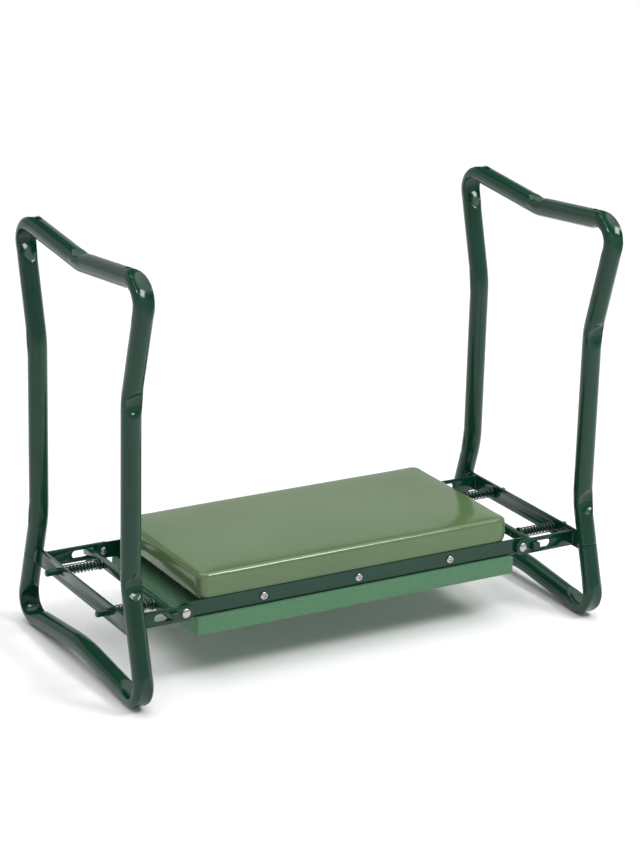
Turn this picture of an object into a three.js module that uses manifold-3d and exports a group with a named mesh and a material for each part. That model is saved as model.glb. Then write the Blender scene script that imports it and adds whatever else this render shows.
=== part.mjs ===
// Garden kneeler seat: a padded bench board hung between two folding steel hoops.
// Millimetres, +Z up. X runs along the seat, Y across it, and the feet stand on Z = 0.

import * as THREE from "three";
import { mergeVertices } from "three/addons/utils/BufferGeometryUtils.js";
import Module from "manifold-3d";

const FIT_GAP = 0.3;

// Hoop: a closed loop of round tube, mirrored about Y = 0 but for its seam
const HOOP_X = 291;
const TUBE_RADIUS = 11;
const TUBE_SIDES = 12;
const BORE_RADIUS = 10.1;
const BORE_SIDES = 8;
const SEAM_GAP = 0.5;
const HANDLE_DIP = { y: 0, z: 460.5, bend: 60 };
const HANDLE_CORNER = { y: 153, z: 475.5, bend: 23 };
const WAIST = { y: 116.7, z: 342, bend: 90 };
const KNEE = { y: 116.7, z: 137, bend: 110 };
const FOOT_CORNER = { y: 155.5, z: 7.34, bend: 22 };
const FOOT_BOW = { y: 0, z: 23, bend: 260 };

// Seat boards
const PAD = { halfLength: 198, halfWidth: 99, bottom: 95.6, top: 123.4 };
const PAD_CORNER = 4;
const PAD_EDGE = 3;
const PAD_SKIN = 1.5;
const BACKING = { halfLength: 178.5, halfWidth: 98.4, bottom: 80.3, top: 95.2 };
const BACKING_THICKNESS = 1.2;
const KNEE_BOARD = { halfLength: 205.5, halfWidth: 106.5, bottom: 57.3, top: 77.6 };
const KNEE_BOARD_CORNER = 2;
const KNEE_BOARD_EDGE = 1;

// Angle rails under the long edges of the pad
const RAIL_HALF_WIDTH = 101;
const RAIL_STEEL = 2;
const RAIL_BOTTOM = 78;
const RAIL_TOP = 97;
const RAIL_BEND = 3.5;
const RAIL_FLANGE = 20;
const RAIL_FLANGE_HALF_LENGTH = 203;
const RAIL_NOSE_RADIUS = 10;
const RAIL_LIP_X = 241;
const RAIL_LIP_TOP = 82;

// Pivots, arms and cross plates
const PIVOT_X = 219;
const PIVOT_Z = 87;
const SPACER_THICKNESS = 1;
const SPACER_RADIUS = 8;
const ARM_STEEL = 3;
const ARM_HEIGHT = 18;
const ARM_NOSE = 8.5;
const ARM_NOSE_CHAMFER = 4;
const SLOT_INNER_X = 229.6;
const SLOT_OUTER_X = 257;
const SLOT_HEIGHT = 9.4;
const PLATE_STEEL = 3;
const PLATE_HEIGHT = 20.5;

// Spring latch
const LATCH_X = 234.5;
const LATCH_WIDTH = 9;
const LATCH_HEIGHT = 8.6;
const LATCH_HALF_LENGTH = 111.5;
const PIN_Y = 65;
const PIN_RADIUS = 3.7;
const PIN_HOLE_RADIUS = 4.3;
const PIN_TIP_X = 307;
const PIN_TIP_BEVEL = 0.8;
const COLLAR_RADIUS = 6.8;
const COLLAR_THICKNESS = 1.6;
const SPRING_COIL_RADIUS = 5.4;
const SPRING_WIRE_RADIUS = 0.75;
const SPRING_TURNS = 10;
const SPRING_STEPS_PER_TURN = 8;
const SPRING_WIRE_SIDES = 4;

// Fasteners
const RIVET_SHANK_RADIUS = 3;
const RIVET_HOLE_RADIUS = 3.4;
const RIVET_HEAD = { radius: 5.6, height: 2.6 };
const RIVET_TAIL = { radius: 4.6, height: 2 };
const SCREW_XS = [-121, 0, 121];
const SCREW_Z = 87.6;
const SCREW_HEAD = { radius: 4.7, height: 2.4 };
const SCREW_SHANK_RADIUS = 1.9;
const SCREW_HOLE_RADIUS = 2.3;
const SCREW_LENGTH = 22;
const SCREW_RECESS = { width: 1, length: 5, depth: 1.2 };

// Places worked out from the sizes above, as distances from the middle of the seat
const WEB_INNER_Y = RAIL_HALF_WIDTH - RAIL_STEEL;
const SPACER_INNER_Y = RAIL_HALF_WIDTH + FIT_GAP;
const SPACER_OUTER_Y = SPACER_INNER_Y + SPACER_THICKNESS;
const ARM_INNER_Y = SPACER_OUTER_Y + FIT_GAP;
const ARM_OUTER_Y = ARM_INNER_Y + ARM_STEEL;
const PLATE_INNER_X = HOOP_X - PLATE_STEEL / 2;
const LATCH_INNER_X = LATCH_X - LATCH_WIDTH / 2;
const LATCH_OUTER_X = LATCH_X + LATCH_WIDTH / 2;
const COLLAR_INNER_X = LATCH_OUTER_X + FIT_GAP;
const SPRING_INNER_X = COLLAR_INNER_X + COLLAR_THICKNESS + FIT_GAP;

const wasm = await Module();
wasm.setup();

const finishes = {
  steel: { color: "#0f4332", roughness: 0.28, metalness: 0.25 },
  skin: { color: "#6e8c64", roughness: 0.32, metalness: 0 },
  padFoam: { color: "#cfc9a8", roughness: 0.95, metalness: 0 },
  cloth: { color: "#191a1c", roughness: 0.9, metalness: 0 },
  wood: { color: "#a8865a", roughness: 0.75, metalness: 0 },
  foam: { color: "#588769", roughness: 0.92, metalness: 0 },
  bright: { color: "#c9cbcc", roughness: 0.3, metalness: 0.95 },
  spring: { color: "#20342c", roughness: 0.4, metalness: 0.6 },
};

function addMesh(parent, name, finish, geometry) {
  const mesh = new THREE.Mesh(geometry, new THREE.MeshStandardMaterial(finishes[finish]));
  mesh.name = name;
  parent.add(mesh);
}

// Solid of a closed geometry, for cutting and joining
function solidOf(geometry) {
  const bare = geometry.index ? geometry.toNonIndexed() : geometry.clone();
  bare.deleteAttribute("normal");
  bare.deleteAttribute("uv");
  const merged = mergeVertices(bare, 1e-4);
  const vertProperties = new Float32Array(merged.attributes.position.array);
  const triVerts = new Uint32Array(merged.index.array);
  return new wasm.Manifold(new wasm.Mesh({ numProp: 3, vertProperties, triVerts }));
}

function geometryOf(solid) {
  const mesh = solid.getMesh();
  const positions = new Float32Array(mesh.vertProperties);
  const geometry = new THREE.BufferGeometry();
  geometry.setAttribute("position", new THREE.BufferAttribute(positions, 3));
  geometry.setIndex(new THREE.BufferAttribute(new Uint32Array(mesh.triVerts), 1));
  geometry.computeVertexNormals();
  return geometry;
}

// Turned piece about the X axis, from a profile of [x, radius] points
function xTurned(profile, sides) {
  const geometry = new THREE.LatheGeometry(profile.map(([x, r]) => new THREE.Vector2(r, x)), sides);
  geometry.rotateZ(-Math.PI / 2);
  return geometry;
}

// Turned piece about an axis along Y, from a profile of [y, radius] points
function yTurned(profile, sides) {
  return new THREE.LatheGeometry(profile.map(([y, r]) => new THREE.Vector2(r, y)), sides);
}

function roundHole(x, y, radius) {
  const hole = new THREE.Path();
  hole.absarc(x, y, radius, 0, Math.PI * 2, true);
  return hole;
}

// Flat board with round corners and bevelled edges
function boardGeometry(board, corner, edge, edgeSteps) {
  const x = board.halfLength - edge - corner;
  const y = board.halfWidth - edge - corner;
  const shape = new THREE.Shape();
  shape.absarc(x, -y, corner, -Math.PI / 2, 0);
  shape.absarc(x, y, corner, 0, Math.PI / 2);
  shape.absarc(-x, y, corner, Math.PI / 2, Math.PI);
  shape.absarc(-x, -y, corner, Math.PI, Math.PI * 1.5);
  const geometry = new THREE.ExtrudeGeometry(shape, {
    depth: board.top - board.bottom - 2 * edge,
    bevelEnabled: edge > 0,
    bevelThickness: edge,
    bevelSize: edge,
    bevelSegments: edgeSteps,
    curveSegments: 3,
  });
  geometry.translate(0, 0, board.bottom + edge);
  return geometry;
}

// A board's size with its sides and bottom, or its sides and top, moved in by a thickness
function innerBoard(board, bySide, byBottom, byTop) {
  return {
    halfLength: board.halfLength - bySide,
    halfWidth: board.halfWidth - bySide,
    bottom: board.bottom + byBottom,
    top: board.top - byTop,
  };
}

// Outline in X and Z, extruded along Y between two distances from the middle plane
function sidePlate(shape, innerY, outerY, side, curveSegments = 6) {
  const geometry = new THREE.ExtrudeGeometry(shape, {
    depth: outerY - innerY,
    bevelEnabled: false,
    curveSegments,
  });
  geometry.rotateX(Math.PI / 2);
  geometry.translate(0, side > 0 ? outerY : -innerY, 0);
  return geometry;
}

// Curve through given stations, with one extrusion step from each to the next
class StationCurve extends THREE.Curve {
  constructor(stations) {
    super();
    this.stations = stations;
  }

  getUtoTmapping(u) {
    return u;
  }

  getPoint(t, target = new THREE.Vector3()) {
    const place = t * (this.stations.length - 1);
    const i = Math.min(Math.floor(place), this.stations.length - 2);
    return target.copy(this.stations[i]).lerp(this.stations[i + 1], place - i);
  }
}

function sweptGeometry(shape, stations) {
  return new THREE.ExtrudeGeometry(shape, {
    steps: stations.length - 1,
    extrudePath: new StationCurve(stations),
  });
}

function polygonPoints(radius, sides) {
  const points = [];
  for (let i = 0; i < sides; i += 1) {
    const angle = (i + 0.5) * 2 * Math.PI / sides;
    points.push(new THREE.Vector2(radius * Math.cos(angle), radius * Math.sin(angle)));
  }
  return points;
}

// Stations of the round bend that joins two straight runs at a corner
function bendStations(before, corner, after) {
  const toBefore = before.point.clone().sub(corner.point).normalize();
  const toAfter = after.point.clone().sub(corner.point).normalize();
  const halfAngle = toBefore.angleTo(toAfter) / 2;
  const inward = toBefore.clone().add(toAfter).normalize();
  const centre = corner.point.clone().addScaledVector(inward, corner.bend / Math.sin(halfAngle));
  const reach = corner.bend / Math.tan(halfAngle);
  const first = corner.point.clone().addScaledVector(toBefore, reach).sub(centre);
  const last = corner.point.clone().addScaledVector(toAfter, reach).sub(centre);
  const sweep = first.angleTo(last);
  const stations = [];
  for (let i = 0; i <= corner.steps; i += 1) {
    const t = i / corner.steps;
    const spoke = first.clone().multiplyScalar(Math.sin((1 - t) * sweep) / Math.sin(sweep));
    spoke.addScaledVector(last, Math.sin(t * sweep) / Math.sin(sweep));
    stations.push(spoke.add(centre));
  }
  return stations;
}

// Distance of the tube's centre line from Y = 0 at a height between knee and foot corner
function flareY(z) {
  const t = (KNEE.z - z) / (KNEE.z - FOOT_CORNER.z);
  return KNEE.y + t * (FOOT_CORNER.y - KNEE.y);
}

// Centre line of a hoop, from its seam on the front tube up over the handle and back below
function hoopStations() {
  const at = (side, { y, z, bend }, steps) => ({
    point: new THREE.Vector3(HOOP_X, side * y, z),
    bend,
    steps,
  });
  const seam = (offset) => ({
    point: new THREE.Vector3(HOOP_X, -flareY(PIVOT_Z + offset), PIVOT_Z + offset),
  });
  const corners = [
    seam(SEAM_GAP / 2),
    at(-1, KNEE, 2),
    at(-1, WAIST, 2),
    at(-1, HANDLE_CORNER, 7),
    at(-1, HANDLE_DIP, 2),
    at(1, HANDLE_CORNER, 7),
    at(1, WAIST, 2),
    at(1, KNEE, 2),
    at(1, FOOT_CORNER, 7),
    at(1, FOOT_BOW, 4),
    at(-1, FOOT_CORNER, 7),
    seam(-SEAM_GAP / 2),
  ];
  const stations = [corners[0].point];
  for (let i = 1; i < corners.length - 1; i += 1) {
    stations.push(...bendStations(corners[i - 1], corners[i], corners[i + 1]));
  }
  stations.push(corners[corners.length - 1].point);
  return stations;
}

function hoopGeometry() {
  const section = new THREE.Shape(polygonPoints(TUBE_RADIUS, TUBE_SIDES));
  section.holes.push(new THREE.Path(polygonPoints(BORE_RADIUS, BORE_SIDES)));
  return sweptGeometry(section, hoopStations());
}

// Strip between the two tubes of a hoop, its ends cut to the slope of the flare
function crossPlateGeometry() {
  const halfHeight = PLATE_HEIGHT / 2;
  const flareTilt = Math.atan2(FOOT_CORNER.y - KNEE.y, KNEE.z - FOOT_CORNER.z);
  const setBack = (TUBE_RADIUS + FIT_GAP) / Math.cos(flareTilt);
  const topY = flareY(PIVOT_Z + halfHeight) - setBack;
  const bottomY = flareY(PIVOT_Z - halfHeight) - setBack;
  const shape = new THREE.Shape([
    new THREE.Vector2(-bottomY, -halfHeight),
    new THREE.Vector2(bottomY, -halfHeight),
    new THREE.Vector2(topY, halfHeight),
    new THREE.Vector2(-topY, halfHeight),
  ]);
  shape.holes.push(roundHole(-PIN_Y, 0, PIN_HOLE_RADIUS), roundHole(PIN_Y, 0, PIN_HOLE_RADIUS));
  const geometry = new THREE.ExtrudeGeometry(shape, {
    depth: PLATE_STEEL,
    bevelEnabled: false,
    curveSegments: 7,
  });
  geometry.rotateX(Math.PI / 2);
  geometry.rotateZ(Math.PI / 2);
  geometry.translate(PLATE_INNER_X, 0, PIVOT_Z);
  return geometry;
}

// Slotted arm from the cross plate in to the pivot
function armGeometry(side) {
  const low = PIVOT_Z - ARM_HEIGHT / 2;
  const high = PIVOT_Z + ARM_HEIGHT / 2;
  const noseX = PIVOT_X - ARM_NOSE;
  const plateX = PLATE_INNER_X - FIT_GAP;
  const shape = new THREE.Shape([
    new THREE.Vector2(noseX, low + ARM_NOSE_CHAMFER),
    new THREE.Vector2(noseX + ARM_NOSE_CHAMFER, low),
    new THREE.Vector2(plateX, low),
    new THREE.Vector2(plateX, high),
    new THREE.Vector2(noseX + ARM_NOSE_CHAMFER, high),
    new THREE.Vector2(noseX, high - ARM_NOSE_CHAMFER),
  ]);
  const slotRadius = SLOT_HEIGHT / 2;
  const slot = new THREE.Path();
  slot.absarc(SLOT_OUTER_X - slotRadius, PIVOT_Z, slotRadius, -Math.PI / 2, Math.PI / 2);
  slot.lineTo(SLOT_INNER_X, PIVOT_Z + slotRadius);
  slot.lineTo(SLOT_INNER_X, PIVOT_Z - slotRadius);
  shape.holes.push(slot, roundHole(PIVOT_X, PIVOT_Z, RIVET_HOLE_RADIUS));
  return sidePlate(shape, ARM_INNER_Y, ARM_OUTER_Y, side);
}

function barAlongX(radius, lowX, highX, y, sides = 14) {
  const geometry = new THREE.CylinderGeometry(radius, radius, highX - lowX, sides);
  geometry.rotateZ(Math.PI / 2);
  geometry.translate((lowX + highX) / 2, y, PIVOT_Z);
  return geometry;
}

// Square bar through both arm slots, bored for its two guide pins
function latchBarGeometry() {
  const geometry = new THREE.BoxGeometry(LATCH_WIDTH, 2 * LATCH_HALF_LENGTH, LATCH_HEIGHT);
  geometry.translate(LATCH_X, 0, PIVOT_Z);
  let bar = solidOf(geometry);
  for (const pinY of [-PIN_Y, PIN_Y]) {
    const bore = barAlongX(PIN_RADIUS + FIT_GAP, LATCH_INNER_X - 1, LATCH_OUTER_X + 1, pinY);
    bar = bar.subtract(solidOf(bore));
  }
  return geometryOf(bar);
}

// Pin from the latch bar out through the cross plate
function pinGeometry(y) {
  const innerX = LATCH_INNER_X - PIN_TIP_BEVEL;
  const geometry = xTurned([
    [innerX, 0],
    [innerX, PIN_RADIUS - PIN_TIP_BEVEL],
    [LATCH_INNER_X, PIN_RADIUS],
    [PIN_TIP_X - PIN_TIP_BEVEL, PIN_RADIUS],
    [PIN_TIP_X, PIN_RADIUS - PIN_TIP_BEVEL],
    [PIN_TIP_X, 0],
  ], 10);
  geometry.translate(0, y, PIVOT_Z);
  return geometry;
}

function collarGeometry(y) {
  const bore = PIN_RADIUS + FIT_GAP;
  const outerX = COLLAR_INNER_X + COLLAR_THICKNESS;
  const geometry = xTurned([
    [COLLAR_INNER_X, bore],
    [COLLAR_INNER_X, COLLAR_RADIUS],
    [outerX, COLLAR_RADIUS],
    [outerX, bore],
    [COLLAR_INNER_X, bore],
  ], 14);
  geometry.translate(0, y, PIVOT_Z);
  return geometry;
}

// Helical compression spring from the collar to the cross plate
function springGeometry(y) {
  const steps = SPRING_TURNS * SPRING_STEPS_PER_TURN;
  const firstX = SPRING_INNER_X + SPRING_WIRE_RADIUS;
  const lastX = PLATE_INNER_X - FIT_GAP - SPRING_WIRE_RADIUS;
  const stations = [];
  for (let i = 0; i <= steps; i += 1) {
    const angle = i * 2 * Math.PI / SPRING_STEPS_PER_TURN;
    stations.push(new THREE.Vector3(
      firstX + (lastX - firstX) * i / steps,
      y + SPRING_COIL_RADIUS * Math.cos(angle),
      PIVOT_Z + SPRING_COIL_RADIUS * Math.sin(angle),
    ));
  }
  return sweptGeometry(new THREE.Shape(polygonPoints(SPRING_WIRE_RADIUS, SPRING_WIRE_SIDES)), stations);
}

// One folding end: hoop, cross plate, arms and spring latch, built at +X
function makeLeg(end) {
  const leg = new THREE.Group();
  const turned = end === "left";
  leg.rotation.z = turned ? Math.PI : 0;
  addMesh(leg, `${end}_hoop`, "steel", hoopGeometry());
  addMesh(leg, `${end}_cross_plate`, "steel", crossPlateGeometry());
  addMesh(leg, `${end}_latch_bar`, "steel", latchBarGeometry());
  for (const side of [-1, 1]) {
    const edge = (side < 0) === turned ? "rear" : "front";
    addMesh(leg, `${end}_arm_${edge}`, "steel", armGeometry(side));
    addMesh(leg, `${end}_guide_pin_${edge}`, "steel", pinGeometry(side * PIN_Y));
    addMesh(leg, `${end}_collar_${edge}`, "spring", collarGeometry(side * PIN_Y));
    addMesh(leg, `${end}_spring_${edge}`, "spring", springGeometry(side * PIN_Y));
  }
  return leg;
}

// Half of the rail's web outline: a nose rounded about the pivot, with a lip below the latch bar
function webShape() {
  const shape = new THREE.Shape();
  const noseBase = Math.asin((RAIL_LIP_TOP - PIVOT_Z) / RAIL_NOSE_RADIUS);
  shape.moveTo(-RAIL_LIP_X, RAIL_BOTTOM);
  shape.lineTo(RAIL_LIP_X, RAIL_BOTTOM);
  shape.lineTo(RAIL_LIP_X, RAIL_LIP_TOP);
  shape.absarc(PIVOT_X, PIVOT_Z, RAIL_NOSE_RADIUS, noseBase, Math.PI / 2);
  shape.absarc(-PIVOT_X, PIVOT_Z, RAIL_NOSE_RADIUS, Math.PI / 2, Math.PI - noseBase);
  shape.lineTo(-RAIL_LIP_X, RAIL_LIP_TOP);
  for (const end of [-1, 1]) {
    shape.holes.push(roundHole(end * PIVOT_X, PIVOT_Z, RIVET_HOLE_RADIUS));
  }
  for (const x of SCREW_XS) {
    shape.holes.push(roundHole(x, SCREW_Z, SCREW_HOLE_RADIUS));
  }
  return shape;
}

// Angle rail: an upright web with a flange turned in at the bottom
function railGeometry(side) {
  const web = solidOf(sidePlate(webShape(), WEB_INNER_Y, RAIL_HALF_WIDTH, side, 4));
  const flangeWidth = RAIL_FLANGE - RAIL_STEEL / 2;
  const flange = new THREE.BoxGeometry(2 * RAIL_FLANGE_HALF_LENGTH, flangeWidth, RAIL_STEEL);
  const flangeY = side * (RAIL_HALF_WIDTH - RAIL_STEEL / 2 - flangeWidth / 2);
  flange.translate(0, flangeY, RAIL_BOTTOM + RAIL_STEEL / 2);
  const joined = web.add(solidOf(flange));
  return geometryOf(joined.subtract(solidOf(bendCutGeometry(side))));
}

// Corner that the rail's bottom bend rounds away, as a prism along X
function bendCutGeometry(side) {
  const shape = new THREE.Shape();
  const out = 1;
  shape.moveTo(side * (RAIL_HALF_WIDTH + out), RAIL_BOTTOM - out);
  shape.lineTo(side * (RAIL_HALF_WIDTH + out), RAIL_BOTTOM + RAIL_BEND / 2);
  shape.lineTo(side * RAIL_HALF_WIDTH, RAIL_BOTTOM + RAIL_BEND / 2);
  shape.lineTo(side * (RAIL_HALF_WIDTH - RAIL_BEND / 6), RAIL_BOTTOM + RAIL_BEND / 6);
  shape.lineTo(side * (RAIL_HALF_WIDTH - RAIL_BEND / 2), RAIL_BOTTOM);
  shape.lineTo(side * (RAIL_HALF_WIDTH - RAIL_BEND / 2), RAIL_BOTTOM - out);
  const geometry = new THREE.ExtrudeGeometry(shape, {
    depth: 2 * (RAIL_LIP_X + out),
    bevelEnabled: false,
  });
  geometry.rotateX(Math.PI / 2);
  geometry.rotateZ(Math.PI / 2);
  geometry.translate(-RAIL_LIP_X - out, 0, 0);
  return geometry;
}

// Domed rivet through arm, spacer and web, its tail spread inside the rail
function rivetGeometry(end, side) {
  const headY = ARM_OUTER_Y + FIT_GAP;
  const tailY = WEB_INNER_Y - FIT_GAP;
  const geometry = yTurned([
    [tailY - RIVET_TAIL.height, 0],
    [tailY - RIVET_TAIL.height, RIVET_TAIL.radius * 0.7],
    [tailY - RIVET_TAIL.height * 0.4, RIVET_TAIL.radius],
    [tailY, RIVET_TAIL.radius],
    [tailY, RIVET_SHANK_RADIUS],
    [headY, RIVET_SHANK_RADIUS],
    [headY, RIVET_HEAD.radius],
    [headY + RIVET_HEAD.height * 0.5, RIVET_HEAD.radius * 0.85],
    [headY + RIVET_HEAD.height * 0.85, RIVET_HEAD.radius * 0.5],
    [headY + RIVET_HEAD.height, 0],
  ], 12);
  return placedAtEdge(geometry, end * PIVOT_X, PIVOT_Z, side);
}

function spacerGeometry(end, side) {
  const geometry = yTurned([
    [SPACER_INNER_Y, RIVET_HOLE_RADIUS],
    [SPACER_INNER_Y, SPACER_RADIUS],
    [SPACER_OUTER_Y, SPACER_RADIUS],
    [SPACER_OUTER_Y, RIVET_HOLE_RADIUS],
    [SPACER_INNER_Y, RIVET_HOLE_RADIUS],
  ], 16);
  return placedAtEdge(geometry, end * PIVOT_X, PIVOT_Z, side);
}

// Pan-head screw with a cross recess, driven through the web into the board's edge
function screwGeometry(x, side) {
  const seatY = RAIL_HALF_WIDTH + FIT_GAP;
  const faceY = seatY + SCREW_HEAD.height;
  const body = solidOf(yTurned([
    [seatY - SCREW_LENGTH, 0],
    [seatY - SCREW_LENGTH + 3, SCREW_SHANK_RADIUS],
    [seatY, SCREW_SHANK_RADIUS],
    [seatY, SCREW_HEAD.radius],
    [seatY + SCREW_HEAD.height * 0.6, SCREW_HEAD.radius * 0.9],
    [faceY, SCREW_HEAD.radius * 0.55],
    [faceY, 0],
  ], 10));
  const cut = (sizeX, sizeZ) => {
    const slot = new THREE.BoxGeometry(sizeX, SCREW_RECESS.depth * 2, sizeZ);
    slot.translate(0, faceY, 0);
    return solidOf(slot);
  };
  const recess = cut(SCREW_RECESS.width, SCREW_RECESS.length).add(
    cut(SCREW_RECESS.length, SCREW_RECESS.width));
  return placedAtEdge(geometryOf(body.subtract(recess)), x, SCREW_Z, side);
}

// Piece made about the Y axis, outward at +Y, moved to a place on the front or rear edge
function placedAtEdge(geometry, x, z, side) {
  if (side < 0) {
    geometry.rotateZ(Math.PI);
  }
  geometry.translate(x, 0, z);
  return geometry;
}

// Board less the holes for the screws that enter its long edges
function drilledBoard(solid) {
  let drilled = solid;
  for (const side of [-1, 1]) {
    for (const x of SCREW_XS) {
      const hole = yTurned([
        [RAIL_HALF_WIDTH - SCREW_LENGTH - 1, 0],
        [RAIL_HALF_WIDTH - SCREW_LENGTH - 1, SCREW_HOLE_RADIUS],
        [RAIL_HALF_WIDTH, SCREW_HOLE_RADIUS],
        [RAIL_HALF_WIDTH, 0],
      ], 10);
      drilled = drilled.subtract(solidOf(placedAtEdge(hole, x, SCREW_Z, side)));
    }
  }
  return geometryOf(drilled);
}

// Black cloth tray that wraps the board's underside and edges
function backingGeometry() {
  const tray = solidOf(boardGeometry(BACKING, 2, 0, 0));
  const well = innerBoard(BACKING, BACKING_THICKNESS, BACKING_THICKNESS, -1);
  return drilledBoard(tray.subtract(solidOf(boardGeometry(well, 1, 0, 0))));
}

function baseBoardGeometry() {
  const inset = BACKING_THICKNESS + FIT_GAP;
  return drilledBoard(solidOf(boardGeometry(innerBoard(BACKING, inset, inset, 0), 1, 0, 0)));
}

// Skin of the pad, open underneath round its foam
function padSkinGeometry() {
  const outer = solidOf(boardGeometry(PAD, PAD_CORNER, PAD_EDGE, 2));
  const hollow = innerBoard(PAD, PAD_SKIN, -1, PAD_SKIN);
  return geometryOf(outer.subtract(solidOf(boardGeometry(hollow, PAD_CORNER, 0, 0))));
}

function makeSeat() {
  const seat = new THREE.Group();
  addMesh(seat, "pad_skin", "skin", padSkinGeometry());
  const foam = innerBoard(PAD, PAD_SKIN + FIT_GAP, 0, PAD_SKIN + FIT_GAP);
  addMesh(seat, "pad_foam", "padFoam", boardGeometry(foam, PAD_CORNER, 0, 0));
  addMesh(seat, "base_board", "wood", baseBoardGeometry());
  addMesh(seat, "backing_cloth", "cloth", backingGeometry());
  const kneeBoard = boardGeometry(KNEE_BOARD, KNEE_BOARD_CORNER, KNEE_BOARD_EDGE, 1);
  addMesh(seat, "kneeling_board", "foam", kneeBoard);
  for (const [edge, side] of [["front", -1], ["rear", 1]]) {
    addMesh(seat, `rail_${edge}`, "steel", railGeometry(side));
    SCREW_XS.forEach((x, i) => {
      addMesh(seat, `screw_${edge}_${i + 1}`, "bright", screwGeometry(x, side));
    });
    for (const [word, end] of [["left", -1], ["right", 1]]) {
      addMesh(seat, `rivet_${word}_${edge}`, "bright", rivetGeometry(end, side));
      addMesh(seat, `spacer_${word}_${edge}`, "bright", spacerGeometry(end, side));
    }
  }
  return seat;
}

const group = new THREE.Group();
group.add(makeSeat(), makeLeg("left"), makeLeg("right"));

export default group;
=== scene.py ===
"""Garden kneeler seat: a glossy pad and foam board between two folding tube hoops.

Lengths are in metres. X runs along the seat, Y across it and Z up from the floor.
"""
import math

import bmesh
import bpy
from mathutils import Euler, Matrix, Vector
from mathutils.kdtree import KDTree
from mathutils.noise import noise


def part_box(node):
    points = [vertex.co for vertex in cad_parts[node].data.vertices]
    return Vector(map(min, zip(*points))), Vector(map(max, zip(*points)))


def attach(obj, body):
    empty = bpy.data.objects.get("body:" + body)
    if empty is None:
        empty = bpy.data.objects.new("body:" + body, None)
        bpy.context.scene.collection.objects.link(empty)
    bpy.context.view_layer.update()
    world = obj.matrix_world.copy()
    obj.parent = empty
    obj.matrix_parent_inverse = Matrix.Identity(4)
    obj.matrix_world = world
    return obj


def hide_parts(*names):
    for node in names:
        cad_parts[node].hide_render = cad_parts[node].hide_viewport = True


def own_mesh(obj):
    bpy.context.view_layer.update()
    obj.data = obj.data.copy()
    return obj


bl_info = {
    "name": "Garden Kneeler Seat",
    "version": (1, 0, 0),
    "blender": (4, 5, 0),
    "location": "3D View > Sidebar > Kneeler",
    "description": "Builds a folding garden kneeler with tube hoops, sprung latches and a padded seat",
    "category": "Object",
}

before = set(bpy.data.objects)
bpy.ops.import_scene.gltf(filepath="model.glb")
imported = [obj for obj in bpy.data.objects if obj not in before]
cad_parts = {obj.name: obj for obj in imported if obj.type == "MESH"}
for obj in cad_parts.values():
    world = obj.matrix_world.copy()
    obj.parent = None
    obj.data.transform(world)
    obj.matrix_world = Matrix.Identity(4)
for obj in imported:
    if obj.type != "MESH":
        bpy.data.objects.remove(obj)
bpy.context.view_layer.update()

MM = 0.001
HALF_TURN = (0, 0, math.pi)
NEAR = 1e-5


def corners_of(node):
    """Lowest and highest corner of a CAD node's box."""
    return [Vector(corner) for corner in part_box(node)]


def node_middle(node):
    """Middle of a CAD node's box."""
    low, high = corners_of(node)
    return (low + high) / 2


PIVOT = node_middle("rivet_right_front")
PIN_Y = abs(node_middle("right_guide_pin_front").y)
HOOP_X = node_middle("right_hoop").x


# ---------------------------------------------------------------- settings

def metres(name, default, description):
    """Setting in metres."""
    return bpy.props.FloatProperty(
        name=name, description=description, default=default, unit="LENGTH")


def degrees(name, default, description):
    """Setting shown as an angle."""
    return bpy.props.FloatProperty(
        name=name, description=description, default=math.radians(default), subtype="ANGLE")


def tint(name, default, description):
    """Setting shown as a colour."""
    return bpy.props.FloatVectorProperty(
        name=name, description=description, subtype="COLOR", size=3, min=0.0, max=1.0,
        default=default)


class HoopSettings(bpy.types.PropertyGroup):
    """Sizes of the two tube hoops, as corners of the centre line before they are bent round."""

    tube_radius: metres("Tube radius", 0.011, "Outside radius of the hoop tube")
    dip_height: metres("Handle dip", 0.4605, "Height of the centre line in the middle of the handle")
    handle_half_width: metres("Handle half width", 0.153, "Half width over the handle's corners")
    handle_height: metres("Handle height", 0.4755, "Height of the handle's corners")
    waist_half_width: metres(
        "Waist half width", 0.1167, "Half width of the uprights between waist and knee")
    waist_height: metres("Waist height", 0.342, "Height where the tubes start to lean out to the handle")
    knee_height: metres("Knee height", 0.137, "Height where the tubes start to spread to the feet")
    foot_half_width: metres("Foot half width", 0.1555, "Half width over the foot corners")
    foot_height: metres("Foot corner height", 0.00734, "Height of the foot corners of the centre line")
    bow_height: metres("Foot bar bow", 0.023, "Height of the foot bar's centre line in the middle")
    crush_depth: metres("Crush depth", 0.0048, "Depth of the flats that the bending tool leaves")


class SeatSettings(bpy.types.PropertyGroup):
    """Shape of the pad, the gathered cloth and the foam board."""

    pad_edge: metres("Pad edge", 0.0046, "Radius of the pad's top edge")
    pad_corner: metres("Pad corner", 0.010, "Radius of the pad's upright corners")
    pad_swell: metres("Pad swell", 0.0014, "Most that the stuffing lifts the pad's skin")
    pad_pressure: bpy.props.FloatProperty(
        name="Stuffing pressure", description="Pressure of the foam under the skin",
        default=4.0, min=0.0, max=20.0)
    fold_depth: metres("Fold depth", 0.0022, "Depth of the folds in the black cloth")


class FinishSettings(bpy.types.PropertyGroup):
    """Colours of the finishes."""

    coat: tint("Powder coat", (0.0020, 0.0370, 0.0195), "Green of the tubes, rails and plates")
    skin: tint("Pad skin", (0.0870, 0.1480, 0.0620), "Green of the pad")
    foam: tint("Foam board", (0.0650, 0.1850, 0.0900), "Green of the kneeling board")
    cloth: tint("Backing cloth", (0.0100, 0.0100, 0.0120), "Black of the cloth under the pad")
    bright: tint("Bright steel", (0.4400, 0.4500, 0.4500), "Plated steel of the rivets and screws")
    spring: tint("Spring steel", (0.0700, 0.1000, 0.0860), "Dark steel of the springs")


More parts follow.
